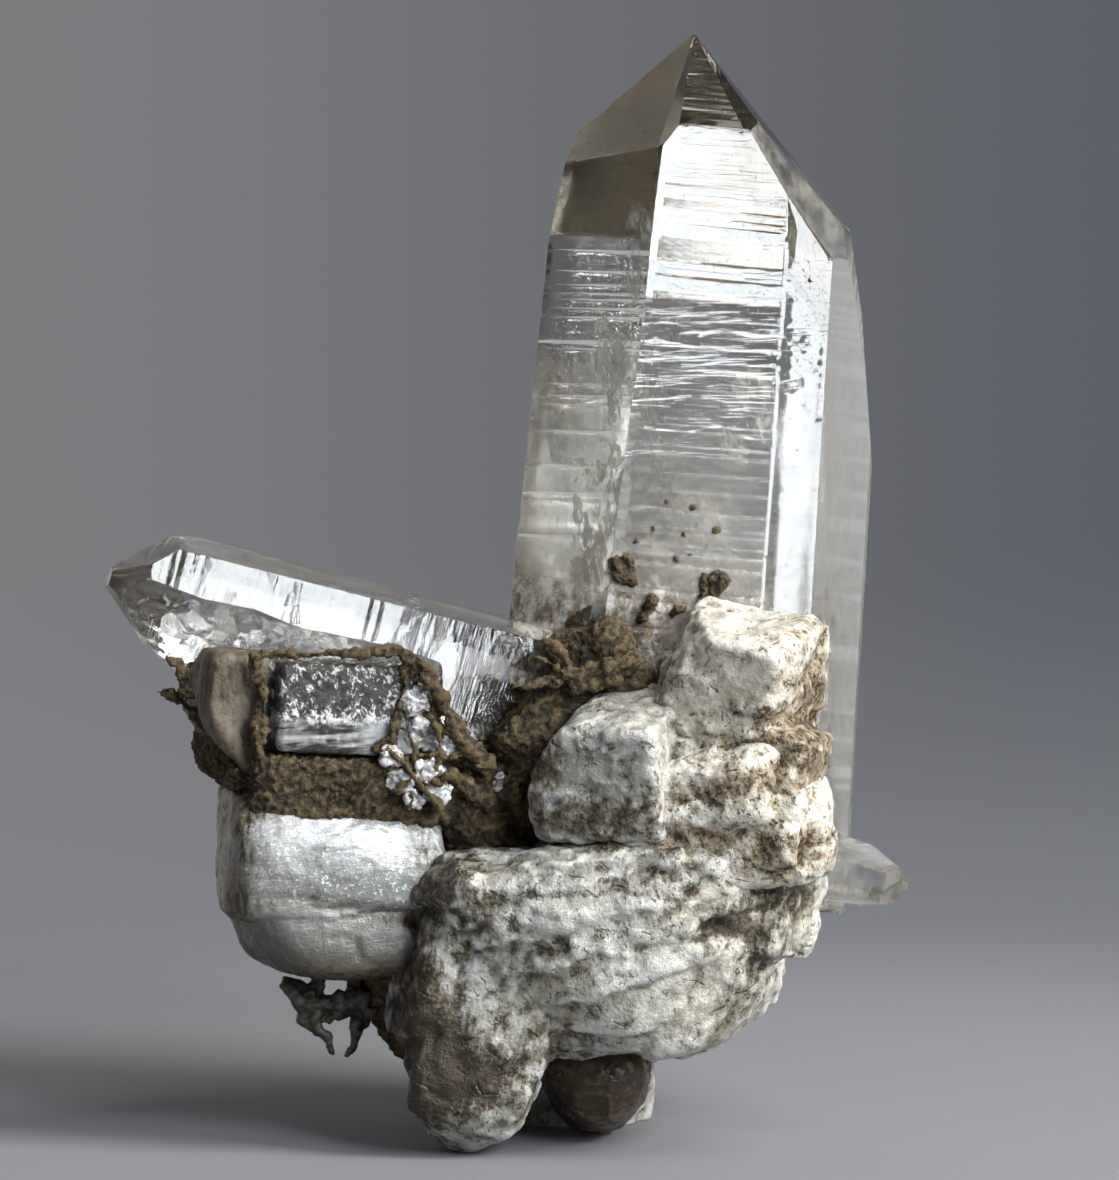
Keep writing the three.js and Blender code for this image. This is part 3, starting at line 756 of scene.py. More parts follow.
silkyBlock = {
    "blocks": [
        block((-17.7, -5.7, 29.3), (11, 9.8, 6.7), (0, 2, 6), 8, 0.02, 11, [(0, 48, 11.6), (-50, 10, 13)]),
        block((-17.2, -5.4, 21.6), (10.5, 9.4, 4.9), (0, -2, 6), 4, 0.03, 28, [(-70, -42, 11.4)]),
    ],
    "voxel": 0.24, "blend": 0.2, "soften": 1,
    "lumps": (6, 0.5), "facets": (4, 0.24), "chips": (1.6, 0.08), "cracks": (3, 0.05),
    "fibres": ((0.97, 0.05, 0.22), 0.62, 0.1), "grain": (0.5, 0.08), "seed": 17,
    "dents": [
        (-21, 25.6, 3, 0.5, 0.4), (-16.5, 24.6, 3.4, 0.5, 0.6), (-12, 23.8, 3, 0.6, 0.9),
        (-9, 23.2, 1.6, 0.9, 1.2), (-9, 31, 2.4, 1, 0.6),
    ],
    "stains": [
        (-21, 25.4, 3.4, 0.3, 0.5), (-16, 24.4, 3.4, 0.3, 0.6), (-11, 23.4, 3, 0.5, 0.9),
        # The wide spot along the bottom at (-17, 16.6) is stain and also painted shade under the block.
        (-28, 26.5, 2.6, 10, 1.2), (-25, 35, 3.8, 1.8, 0.9), (-17, 16.6, 11, 2, 1.0),
        (-7.6, 28, 1.6, 7, 0.6),
    ],
}
etchedBlock = {
    "blocks": [
        block((-16.4, -5, 44.0), (7, 7.8, 4.5), (0, 2, 4), 18, 0.008, 12),
        block((-27.4, -4.4, 43.2), (4.4, 7, 6.4), (0, 6, 14), 9, 0.02, 29, [(-90, -43, 5)]),
    ],
    "voxel": 0.22,
    "lumps": (5, 0.12), "facets": (2.4, 0.12), "chips": (1.1, 0.1), "cracks": (2.2, 0.08),
    "fibres": ((0.1, 0, 1), 0.8, 0.14), "grain": (0.5, 0.06), "seed": 19,
}
# The crust's ribs are twigs and the lacy web between the blocks: (places (x, z), depth y, radii, seed).
ironCrust = {
    "blocks": [
        block((-4, 2, 34.6), (9, 9.5, 10), (0, 0, 0), 3, 0.1, 13),
        block((-1.5, -8, 34.6), (5.6, 4, 5.4), (0, 0, 0), 3, 0.1, 21),
        block((-15.6, -4, 36.8), (10.2, 9.4, 3.3), (6, 3, 2), 9, 0.03, 14),
        block((-25.4, -3.4, 38), (3.4, 7.2, 3.2), (0, 30, 6), 4, 0.06, 44),
        block((9.6, -7.2, 47.4), (4.3, 4.4, 5), (0, -24, -20), 5, 0.1, 15),
        block((3.4, -7, 42.2), (5.6, 6.4, 3.2), (0, -48, 0), 5, 0.08, 16),
    ],
    "ribs": [
        ([(-24.5, 49.5), (-15.5, 49.5), (-10, 49.5), (-7, 46), (-5, 42), (-2, 38)], -12.6,
         (0.4, 0.5, 0.7, 0.9, 0.8, 1.0), 1),
        ([(-9.5, 49), (-10.5, 45), (-11.5, 41), (-13.5, 40)], -12.8, (0.8, 0.6, 0.8, 0.7), 2),
        ([(-10.5, 46), (-8, 43.5), (-5.5, 41), (-3, 39.5)], -12.2, (0.4, 0.5, 0.4, 0.8), 3),
        ([(-13, 40), (-9.5, 39), (-5.5, 37.5), (-1.5, 34.5)], -12.4, (0.8, 0.5, 0.6, 1.0), 4),
        ([(-7, 45), (-8, 41.5), (-6.5, 38), (-8.5, 34.5)], -12.0, (0.5, 0.35, 0.4, 0.7), 5),
        ([(-4, 41), (-4.5, 37.5), (-7, 35)], -12.0, (0.6, 0.4, 0.6), 6),
        ([(-9.5, 43), (-7, 40), (-8.5, 37.5), (-11, 36)], -11.6, (0.4, 0.35, 0.4, 0.6), 14),
        ([(-11, 42), (-9, 40.5), (-6, 41.5)], -11.8, (0.4, 0.3, 0.3), 15),
        ([(-25, 49.5), (-24.5, 45), (-24.5, 40), (-24.5, 36)], -12.4, (0.6, 0.8, 0.7, 1.0), 7),
        ([(0, 46), (3.5, 47), (7, 47), (9.5, 47.5), (13, 49.5)], -13.4, (0.3, 0.8, 1.2, 1.1, 0.9), 8),
        ([(0.5, 43.5), (1.5, 40), (0, 35)], -12.2, (1.0, 1.2, 1.0), 9),
        ([(-34.5, 45.5), (-33.5, 45.5), (-31, 43), (-28, 40.5), (-26.5, 37.5)], -7.5,
         (0.15, 0.5, 0.8, 1.0, 1.4), 10),
        ([(-34, 49), (-32.5, 48), (-31.5, 44.5)], -8.5, (0.3, 0.8, 0.6), 11),
        ([(-12.5, 40.5), (-10, 38.6), (-8.6, 36.4), (-6.5, 34.4)], -14, (0.5, 0.25, 0.3, 0.6), 31),
        ([(-11.6, 36), (-9.4, 37.4), (-7.4, 36.8), (-5, 37.6)], -14, (0.5, 0.22, 0.25, 0.4), 32),
        ([(-10.6, 42.4), (-9.2, 39.6), (-9.4, 37), (-9.9, 34.5)], -13.8, (0.3, 0.25, 0.25, 0.5), 33),
        ([(-7.4, 42.8), (-6.8, 40), (-7.3, 37.6), (-6.6, 35)], -13.4, (0.35, 0.25, 0.25, 0.4), 34),
        ([(-12, 38.2), (-9, 39.4), (-6, 39.2), (-3.6, 40.4)], -13.6, (0.4, 0.2, 0.25, 0.4), 35),
        ([(3.5, 51), (5, 49.5), (6, 47.5)], -12.6, (0.25, 0.5, 0.4), 12),
        ([(2.5, 49.5), (4, 48.5), (5.5, 47.5)], -12.8, (0.2, 0.4, 0.4), 13),
    ],
    "voxel": 0.23,
    "lumps": (3.4, 0.35), "facets": (1.8, 0.3), "chips": (0.8, 0.26), "cracks": (1.6, 0.2),
    "fibres": ((0.8, 0, 0.5), 0.6, 0.14), "grain": (0.45, 0.28), "seed": 23,
    "backLumps": (8, 2.6),
}
crustBack = {**ironCrust, "ribs": [], "voxel": 0.3, "blocks": [
    block((-13, 8, 29), (13, 12, 14), (0, 0, 0), 4, 0.08, 17, [(150, 34, 13), (-140, -30, 13.5)], (4, 0.05)),
    block((-9.5, -1, 16.5), (5.5, 7, 9), (0, -24, 0), 3, 0.08, 18),
    block((-22, 0, 42), (9, 8.5, 6.5), (0, 4, 8), 4, 0.05, 45),
]}
# Glassy chips in the holes of the web: (middle, half sizes, turn).
chipPlaces = [
    ((-8.3, -12.2, 41.6), (1.7, 0.6, 1.5), (10, 20, 10)),
    ((-7.8, -13.3, 38.1), (1.3, 0.6, 1.2), (0, -25, 12)),
    ((-10.7, -13.3, 37.1), (1.4, 0.6, 1), (10, 10, -10)), ((-7, -13.2, 36), (1.3, 0.6, 1), (0, 30, 10)),
    ((-9.3, -12.4, 44.8), (1.4, 0.6, 1.3), (-10, -20, 5)), ((-5.6, -12, 40.6), (1.2, 0.6, 1.4), (0, 45, 10)),
    ((-11.6, -13.3, 39.4), (1, 0.6, 0.9), (0, 15, 10)), ((-0.9, -10, 36.9), (0.9, 2, 1), (15, 35, 0)),
    ((-9.2, -13.3, 35.2), (1, 0.6, 0.8), (10, 40, 0)),
]
paleChips = {
    "blocks": [block(*place, 5, 0.12, 71 + k) for k, place in enumerate(chipPlaces)],
    "voxel": 0.16,
    "lumps": (1.5, 0.3), "facets": (0.9, 0.35), "chips": (0.5, 0.2), "cracks": (1.8, 0.05),
    "fibres": ((0, 0, 1), 0.4, 0.04), "grain": (0.3, 0.04), "seed": 43,
}
smokyLump = {
    "blocks": [
        block((8.8, -3.5, 5.2), (5.6, 7, 6.6), (0, 0, 0), 3, 0.05, 19, [(70, -48, 7.0), (-60, -48, 7.4)]),
    ],
    "voxel": 0.24,
    "lumps": (4, 0.5), "facets": (3.4, 0.3), "chips": (1.4, 0.12), "cracks": (3, 0.1),
    "fibres": ((0, 0, 1), 0.8, 0.04), "grain": (0.5, 0.04), "seed": 31,
}
micaLace = {
    "blocks": [],
    "ribs": [
        ([(-22.5, 16), (-20.5, 14), (-19, 11), (-17.5, 8.5)], -4.6, (0.7, 1.5, 0.9, 0.25), 21),
        ([(-20.5, 14), (-17, 13.5), (-14, 14), (-12.5, 14)], -4.4, (1.5, 1.7, 1.6, 1.4), 22),
        ([(-19, 17), (-19.5, 14.5)], -4.4, (0.8, 0.9), 23),
        ([(-15.5, 17), (-15.5, 14)], -4.2, (0.8, 0.8), 24),
        ([(-12, 17), (-12, 14), (-11, 11)], -4.0, (1.3, 1.4, 1.6), 25),
        ([(-14, 14), (-15, 11.5), (-15.5, 10), (-16.5, 8.5)], -4.6, (1.4, 1.0, 0.7, 0.3), 26),
        ([(-17.5, 13.5), (-18.5, 12)], -4.4, (1.3, 0.9), 27),
        ([(-19, 17), (-15, 16.5), (-12, 17)], -4.2, (0.5, 0.5, 0.9), 28),
    ],
    "voxel": 0.2,
    "lumps": (2.4, 0.2), "facets": (1.6, 0.2), "chips": (0.8, 0.12), "cracks": (1.8, 0.05),
    "fibres": ((0.8, 0, 0.5), 0.6, 0.1), "grain": (0.5, 0.08), "seed": 37,
}


# The depth y of a place on one flat face of a crystal.
def faceDepth(form, side, x, z):
    sides, normals, reaches, _ = facesOf(form)
    k = list(sides).index(side)
    normal = normals[k] @ axesOf(form)
    at = form["at"]
    return at[1] + (reaches[k] - normal[0] * (x - at[0]) - normal[2] * (z - at[2])) / normal[1]


# Dark grit that has grown on the foot of the tall crystal's front face: (x, z, half width, half height).
gritSpots = [
    (11.2, 57.6, 1.1, 1.3), (11.9, 56.4, 0.7, 0.5), (20.3, 56, 1.2, 1.3), (19.4, 54.6, 1.1, 0.5),
    (14.2, 61.5, 0.3, 0.25), (17.2, 60.9, 0.25, 0.3), (20.5, 61.3, 0.25, 0.2), (16.4, 58.4, 0.25, 0.3),
    (12.4, 60.2, 0.2, 0.3), (18.2, 63.5, 0.2, 0.2), (15.6, 64.2, 0.15, 0.2), (17.8, 58.9, 0.15, 0.2),
    (13.6, 53.6, 1.5, 0.5), (16.6, 53.4, 0.9, 0.4),
]
darkGrit = {
    "blocks": [
        block((x, faceDepth(tallCrystal, 14, x, z) + 0.2, z), (wide, 0.3 + 0.6 * wide, high),
              (0, 25 * k, 0), 3, 0.25, 61 + k)
        for k, (x, z, wide, high) in enumerate(gritSpots)
    ],
    "voxel": 0.12,
    "lumps": (1.2, 0.35), "facets": (0.7, 0.2), "chips": (0.45, 0.14), "cracks": (1.8, 0.05),
    "fibres": ((0, 0, 1), 0.4, 0.1), "grain": (0.3, 0.14), "seed": 41,
}


# Slow waves over all directions, from -1 to 1, that differ with the seed.
def waves(direction, seed):
    x, y, z = direction.T
    return (0.4 * np.sin(3.1 * x + 2.3 * z + 1.7 * seed) + 0.3 * np.sin(4.3 * y - 3.7 * z + 2.9 * seed)
            + 0.3 * np.sin(6.1 * z + 5.3 * x - 4.1 * y + 0.7 * seed))


# A block's surface: six grids, one for each side of a cube, and in each direction it lies where the sum
# over its planes of (height towards the plane / the plane's distance) to the power "edge" is 1.
def blockSurface(form, cells=40):
    line = np.linspace(-1, 1, cells + 1)
    u, v = np.meshgrid(line, line, indexing="ij")
    flat = np.stack([u, v, np.ones_like(u)], axis=-1).reshape(-1, 3)
    sides = []
    for axis in range(3):
        for sign in (1, -1):
            points = np.roll(flat * [1, sign, sign], axis + 1, axis=1)
            sides.append((points, gridQuads(cells + 1, cells + 1, False)))
    points, quads = together(sides)
    half = np.array(form["half"], float)
    direction = unit(points * half)
    total = (np.abs(direction / half) ** form["edge"]).sum(axis=1)
    for side, lean, distance in form["cuts"]:
        reach = distance * np.cos(np.radians(lean))
        total += (np.maximum(direction @ directionOf(side, lean), 0) / reach) ** form["edge"]
    wave = waves(direction, form["seed"])
    count, depth = form["ledges"]
    tooth = (count * (direction[:, 2] - 0.15 * direction[:, 0] + 0.1 * wave + 2)) % 1
    relief = 1 + form["swell"] * wave - depth * tooth
    surface = direction * (relief * total ** (-1 / form["edge"]))[:, None]
    return weld(turned(surface, form["turn"]) + np.array(form["at"], float), quads)


# A rough twig or rib: rings of the given radii carried along a path of (x, z) places at the depth y,
# each ring square to the path and drawn out to a blade that twists along it.
def ribSurface(places, y, radii, seed, around=14, steps=40):
    path = np.array([(x, y, z) for x, z in places], float)
    at = np.linspace(0, len(path) - 1, steps)
    line = np.stack([np.interp(at, np.arange(len(path)), path[:, k]) for k in range(3)], axis=1)
    line += 0.5 * sway(line, 2.4, seed, 3)
    radius = np.interp(at, np.arange(len(path)), radii) * (1 + 0.35 * noise(line, 0.9, seed + 9))
    ahead = unit(np.gradient(line, axis=0))
    sideways = unit(np.cross(ahead, [0.12, -1, 0.21]))
    upwards = np.cross(sideways, ahead)
    angle = np.linspace(0, 2 * np.pi, around, endpoint=False)
    ring = sideways[:, None] * np.cos(angle)[:, None] - upwards[:, None] * np.sin(angle)[:, None]
    twist = 2.6 * noise(line, 3.5, seed + 4)
    blade = 0.4 + 0.65 * np.abs(np.cos(angle[None, :] + twist[:, None]))
    points = line[:, None] + ring * (radius[:, None] * blade)[..., None]
    ends = [np.repeat(line[k][None, None], around, axis=1) for k in (0, -1)]
    points = np.concatenate([ends[0], points, ends[1]]).reshape(-1, 3)
    return weld(points, gridQuads(steps + 2, around, True))


def fused(surfaces, voxel):    # one skin over overlapping closed surfaces
    piece = added("loose", meshOf("loose", *together(surfaces)))
    skin = piece.modifiers.new("skin", "REMESH")
    skin.mode = "VOXEL"
    skin.voxel_size = voxel * mm
    return readBack(piece)


def neighboursMean(values, quads, times):    # each point's value evened out with its neighbours'
    pairs = np.concatenate([quads[:, [k, (k + 1) % 4]] for k in range(4)])
    pairs = np.concatenate([pairs, pairs[:, ::-1]])
    count = np.bincount(pairs[:, 0], minlength=len(values))
    for _ in range(times):
        sums = [np.bincount(pairs[:, 0], column[pairs[:, 1]], len(values)) for column in values.T]
        values = np.stack(sums, axis=1) / count[:, None]
    return values


def normalsOf(points, quads):    # from the diagonals of the quads round each point
    area = np.cross(points[quads[:, 2]] - points[quads[:, 0]], points[quads[:, 3]] - points[quads[:, 1]])
    sums = [np.bincount(quads.ravel(), np.repeat(area[:, k], 4), len(points)) for k in range(3)]
    return unit(np.stack(sums, axis=1))


# The relief at each point, along its normal: slow lumps, two sizes of flat chips, which break off where
# the next begins, sunken crack lines, fibres, which are noise drawn out along them, and grain.
def reliefOf(points, form):
    seed = form["seed"]
    size, height = form["lumps"]
    move = height * roughNoise(points, size, seed, 3)
    for k, (size, height) in enumerate((form["facets"], form["chips"])):
        bend = 0.2 * size * sway(points, size, seed + 50 + k)
        move += height * grains(points + bend, size, seed + 20 * k)[0]
    size, height = form["cracks"]
    bend = 0.4 * size * sway(points, 0.6 * size, seed + 70)
    _, border = grains(points + bend, size, seed + 33)
    move -= height * (1 - smoothStep(0.02, 0.12, border)) * smoothStep(-0.1, 0.4, noise(points, 5, seed + 8))
    direction, size, height = form["fibres"]
    along = unit(np.array(direction, float))
    drawnOut = 0.88    # the share of the way along a fibre that its noise leaves out
    squeezed = points - drawnOut * (points @ along)[:, None] * along
    move += height * roughNoise(squeezed, size, seed + 5, 2)
    size, height = form["grain"]
    move += height * roughNoise(points, size, seed + 3, 2)
    if "backLumps" in form:    # where nobody sees a web, the crust is knobbly
        size, height = form["backLumps"]
        knobs = -np.abs(noise(points, size, seed + 60)) - 0.5 * np.abs(noise(points, size / 2.3, seed + 61))
        move += height * (0.5 + knobs) * smoothStep(-3, 3, points[:, 1])
    for *spot, amount in form.get("calm", ()):
        move *= 1 - amount * np.exp(-apartFrom(points, *spot) ** 2)
    for *spot, depth in form.get("dents", ()):
        move -= depth * np.exp(-apartFrom(points, *spot)) * (points[:, 1] < 0)
    return move


skinSetup = {
    "blendRounds": 90, "nearRounds": 6, "wideRounds": 70,    # how often points are evened out
    "creases": (0.05, 0.6),    # creases this deep, mm, begin to be filled and are filled
    "bite": 0.25,    # how deep rock may reach into a crystal, mm
    "raggedBy": 1.4,    # how far the rim of a stain wanders, mm
}


# A rock's skin: its blocks and ribs fused, then every point moved along the normal by the relief.
# Points deeper inside a crystal than "bite" go back out to there. The readings for its material: how
# far a point lies below its near and its wide surroundings, and the stains.
def rockSurface(form, setup):
    surfaces = [blockSurface(b) for b in form["blocks"]]
    surfaces += [ribSurface(*rib) for rib in form.get("ribs", ())]
    points, quads = fused(surfaces, form["voxel"])
    if "blend" in form:    # fills the creases between the blocks, by moving hollow points outwards
        even = neighboursMean(points, quads, setup["blendRounds"])
        lift = ((even - points) * normalsOf(points, quads)).sum(axis=1)
        points = points + form["blend"] * smoothStep(*setup["creases"], lift)[:, None] * (even - points)
    points = points + normalsOf(points, quads) * reliefOf(points, form)[:, None]
    if "soften" in form:    # weathers the chips' edges
        points = neighboursMean(points, quads, form["soften"])
    for crystal in (tallCrystal, stubCrystal, sideCrystal):
        inside, out = depthInside(points, crystal)
        points = points + out * np.maximum(inside - setup["bite"], 0)[:, None]
    points[:, 2] = np.maximum(points[:, 2], 0)
    normals = normalsOf(points, quads)
    near, wide = [((neighboursMean(points, quads, setup[rounds]) - points) * normals).sum(axis=1)
                  for rounds in ("nearRounds", "wideRounds")]
    stain = np.zeros(len(points))
    ragged = points + setup["raggedBy"] * sway(points, 3, 91, 3)
    for *spot, strength in form.get("stains", ()):
        shown = normals[:, 1] * form.get("spotSide", 1) < 0.3
        stain += strength * np.exp(-apartFrom(ragged, *spot)) * shown
    return points, quads, {"hollow": near, "wideHollow": wide, "stain": stain}


# Stone: pale mottles over a greyer depth, paler and warmer to the right as painted light from the right,
# a tea-coloured wash in broad hollows, ragged cracks, darker brown in the small hollows, paler sharp
# edges that are partly painted highlight and partly wear, streaks the way the fibres run, and rows of
# dark dashes.
def stoneFinish(name, look):
    paint = newPaint(name)
    near, wide, stain = [paint.reading(label) for label in ("hollow", "wideHollow", "stain")]
    broad = paint.speckle(look["blotch"], 4, 0.6)
    coarse = paint.speckle(look["blotch"] * 0.3, 4, 0.6)
    fine = paint.speckle(0.4, 5, 0.65)
    streaks = paint.speckle(0.6, 4, 0.68, (0.3, 1, 1), look["streakTurn"], 0.4)
    rows = paint.speckle(2.4, 3, 0.6, (0.2, 1, 1), (0, 7, 0), 0.5)
    gaps = paint.cracks(look["crackSize"], 0.045, (0.6, 0.6, 1), (0, -8, 0), 0.8) * coarse.between(0.5, 0.58)
    dashes = paint.speckle(0.5, 3, 0.7, (1, 1, 0.55), (0, 12, 0), 0.5).between(0.57, 0.62)
    dashes = dashes * (rows + stain * 0.3).between(0.52, 0.62)
    wash = stain * 0.8 + wide.between(0.1, 1.3) * 0.7 + (broad - 0.5) * 1.2 + (coarse - 0.5) * 0.8
    wash = wash.between(0.05, 1.1)
    # near makes the small hollows a darker brown
    grime = stain + (streaks - 0.5) * 1.8 + (coarse - 0.5) * 2.2 + near.between(0.0, 0.12) * 0.5
    dirt = (grime + (fine - 0.5) * 3.2).between(0.7, 1.25) + gaps * (0.5 + wash * 0.5)
    # painted light: paler and warmer towards the right, the side that the light falls on
    lightFromRight = (paint.along(0) + (broad - 0.5) * 30).between(2, 26)
    depth = (coarse * 0.6 + broad * 0.4).between(0.38, 0.58)
    base = paint.layered(look["pale"], look, (
        ("warm", lightFromRight), ("shade", depth * look["deep"]), ("shade", fine.between(0.4, 0.6) * 0.4),
        # edge: sharp convex edges made paler, partly painted highlight and partly wear
        ("tea", wash * look["washed"]), ("edge", (-1 * near).between(0.01, 0.09) * 0.5),
        ("rust", grime.between(0.2, 0.9) * 0.8), ("stain", dirt.clipped() * look["dirty"]),
        ("speck", dashes * 0.85),
    ))
    height = fine * 0.9 + coarse * 0.6 - gaps * 0.5
    surface = paint.principled(
        Base_Color=base, Roughness=look["roughness"] - coarse.between(0.5, 0.6) * 0.14,
        Normal=paint.bump(height, look["bump"]),
        Subsurface_Weight=look["glow"], Subsurface_Radius=(1, 0.8, 0.6), Subsurface_Scale=mm)
    return paint.finished(surface)


# The silky block: fine bright and grey fibres that rise to the right, brown where stained, paler towards
# the upper right as painted light, darker towards the bottom as painted shade, with painted glints above.
def silkyFinish(name, look):
    paint = newPaint(name)
    near, stain = paint.reading("hollow"), paint.reading("stain")
    turn = (0, look["fibreRise"], 0)
    fibres = paint.speckle(0.3, 3, 0.6, (0.1, 1, 1), turn)
    bands = paint.speckle(3, 5, 0.7, (0.3, 1, 1), turn, 0.3)
    fine = paint.speckle(0.4, 4, 0.65)
    streaks = paint.speckle(0.6, 4, 0.65, (1, 1, 0.2))
    slits = paint.cracks(4, 0.02, (0.12, 1, 1), turn, 0.3) * bands.between(0.46, 0.56)
    x, z = paint.along(0), paint.along(2)
    # painted light and shade: how high and how far right a place is, for paler above and to the right and
    # darker below
    height = z + (x + 18) * 0.3 + (bands - 0.5) * 24
    foot = (z + (bands - 0.5) * 12).between(24.5, 18.5)
    wash = (stain * (0.6 + streaks.between(0.35, 0.6)) + near.between(0.02, 0.12) * 0.5).clipped()
    dirt = wash * streaks.between(0.5, 0.62) + near.between(0.06, 0.16) * bands.between(0.5, 0.6)
    # the shade by height and the low colour are painted shade, and the glint colour is painted glints
    base = paint.layered(look["pale"], look, (
        ("warm", bands.between(0.46, 0.55)), ("shade", fibres.between(0.5, 0.64) * 0.35),
        ("stain", slits * 0.6), ("shade", height.between(34, 26) * 0.8), ("low", foot * 0.8),
        ("glint", fine.between(0.56, 0.64) * height.between(22, 32)), ("tea", wash),
        ("stain", dirt.clipped()),
    ))
    surface = paint.principled(
        Base_Color=base, Roughness=look["roughness"] - bands.between(0.44, 0.6) * 0.1,
        Normal=paint.bump(fibres * 0.5 + bands * 1.6 + fine * 0.8, look["bump"]), Specular_IOR_Level=0.8,
        Subsurface_Weight=look["glow"], Subsurface_Radius=(1, 0.9, 0.8), Subsurface_Scale=mm)
    return paint.finished(surface)


# The etched block: its glassy front is frosted in its upper part and polished below, where its grey is
# painted reflection, tan on the left.
def etchedFinish(name, look):
    paint = newPaint(name)
    near = paint.reading("hollow")
    x, z = paint.along(0), paint.along(2)
    ragged = paint.speckle(1.5, 4, 0.65)
    etching = paint.speckle(0.55, 5, 0.75, (1, 1, 0.7), (0, 20, 0), 0.8)
    streaks = paint.speckle(2.2, 5, 0.7, (1, 1, 0.3), (0, 6, 0), 0.6)
    upper = (z + ragged * 2.5).between(look["frostFrom"], look["frostFrom"] + 1.2)
    front = (x + ragged * 0.8).between(look["glassFrom"], look["glassFrom"] + 0.5)
    bands = paint.speckle(0.9, 4, 0.6, (0.15, 1, 1), (0, 4, 0), 0.3)
    # the grey of the polished glass is painted reflection of the lights, between darker bands
    glass = paint.mix(bands.between(0.4, 0.62), look["grey"], look["dark"])
    share = etching + (ragged - 0.5) * 0.6 + z.between(46, 41) * 0.12
    frosted = paint.mix(share.between(0.53, 0.64), look["dark"], look["white"])
    glass = paint.mix(upper, glass, frosted)
    tan = paint.mix(streaks.between(0.38, 0.62), look["tan"], look["brown"])
    tan = paint.mix(near.between(0, 0.1) + etching.between(0.58, 0.7) * 0.7, tan, look["stain"])
    base = paint.mix(front, tan, glass)
    height = etching * upper * 1.5 + bands * front + streaks * 0.4 + ragged * 0.3
    rough = look["roughness"] - front * 0.32 + front * upper * 0.2
    return paint.finished(
        paint.principled(Base_Color=base, Roughness=rough, Normal=paint.bump(height, look["bump"])))


# Each stone's colours and how they are spread: the size of its blotches, how deep their shade goes, the
# way its streaks run, the size between cracks, how much of it the tea wash and the dirt cover.
stoneLooks = {
    # In each look, warm is painted light on the side towards the light, and edge is paler sharp edges,
    # partly painted highlight and partly wear.
    "feldspar": {
        "pale": (0.54, 0.545, 0.52), "warm": (0.85, 0.81, 0.69), "shade": (0.23, 0.222, 0.178),
        "tea": (0.25, 0.195, 0.11), "stain": (0.032, 0.022, 0.011), "speck": (0.04, 0.028, 0.016),
        "rust": (0.088, 0.065, 0.031), "edge": (0.84, 0.84, 0.80), "blotch": 6, "deep": 0.8,
        "streakTurn": (0, 80, 0), "crackSize": 4.6, "washed": 0.75, "dirty": 0.9,
        "roughness": 0.36, "bump": 0.3, "glow": 0.15,
    },
    "streaked": {
        "pale": (0.80, 0.79, 0.755), "warm": (0.84, 0.79, 0.68), "shade": (0.38, 0.35, 0.265),
        "tea": (0.36, 0.265, 0.14), "stain": (0.05, 0.031, 0.014), "speck": (0.04, 0.026, 0.015),
        "rust": (0.24, 0.160, 0.074), "edge": (0.88, 0.86, 0.80), "blotch": 5, "deep": 0.45,
        "streakTurn": (0, -62, 0), "crackSize": 3.6, "washed": 0.85, "dirty": 0.95,
        "roughness": 0.36, "bump": 0.3, "glow": 0.15,
    },
    "crust": {
        "pale": (0.085, 0.059, 0.026), "warm": (0.065, 0.042, 0.017), "shade": (0.024, 0.017, 0.008),
        "tea": (0.035, 0.024, 0.012), "stain": (0.010, 0.007, 0.005), "speck": (0.22, 0.17, 0.10),
        "rust": (0.05, 0.032, 0.013), "edge": (0.17, 0.118, 0.052), "blotch": 2.4, "deep": 1.0,
        "streakTurn": (0, 30, 0), "crackSize": 1.2, "washed": 0.6, "dirty": 0.9,
        "roughness": 0.85, "bump": 0.3, "glow": 0.0,
    },
    "glassy": {
        "pale": (0.62, 0.63, 0.65), "warm": (0.6, 0.6, 0.6), "shade": (0.2, 0.19, 0.17),
        "tea": (0.25, 0.19, 0.11), "stain": (0.05, 0.035, 0.02), "speck": (0.1, 0.08, 0.06),
        "rust": (0.2, 0.14, 0.08), "edge": (0.9, 0.9, 0.9), "blotch": 1.6, "deep": 0.8,
        "streakTurn": (0, 30, 0), "crackSize": 1.5, "washed": 0.4, "dirty": 0.5,
        "roughness": 0.12, "bump": 0.05, "glow": 0.2,
    },
    "smoky": {
        "pale": (0.065, 0.040, 0.020), "warm": (0.04, 0.024, 0.012), "shade": (0.018, 0.012, 0.007),
        "tea": (0.03, 0.02, 0.011), "stain": (0.012, 0.009, 0.007), "speck": (0.2, 0.16, 0.1),
        "rust": (0.05, 0.03, 0.014), "edge": (0.15, 0.10, 0.06), "blotch": 5, "deep": 0.7,
        "streakTurn": (0, 0, 0), "crackSize": 3, "washed": 0.5, "dirty": 0.6,
        "roughness": 0.24, "bump": 0.05, "glow": 0.0,
    },
    "mica": {
        "pale": (0.075, 0.067, 0.05), "warm": (0.05, 0.042, 0.03), "shade": (0.03, 0.025, 0.018),
        "tea": (0.035, 0.026, 0.017), "stain": (0.015, 0.012, 0.009), "speck": (0.2, 0.18, 0.14),
        "rust": (0.05, 0.036, 0.02), "edge": (0.15, 0.13, 0.10), "blotch": 3, "deep": 0.7,
        "streakTurn": (0, 20, 0), "crackSize": 1.6, "washed": 0.5, "dirty": 0.6,
        "roughness": 0.35, "bump": 0.12, "glow": 0.0,
    },
}
silkyLook = {
    # low is the colour of the painted shade at the bottom, and glint the colour of painted glints
    "pale": (0.80, 0.83, 0.86), "warm": (0.32, 0.33, 0.315), "shade": (0.2, 0.205, 0.18),
    "low": (0.085, 0.078, 0.055), "glint": (0.9, 0.93, 0.96),
    "tea": (0.13, 0.098, 0.055), "stain": (0.03, 0.022, 0.014), "fibreRise": 4,
    "roughness": 0.3, "bump": 0.14, "glow": 0.1,
}
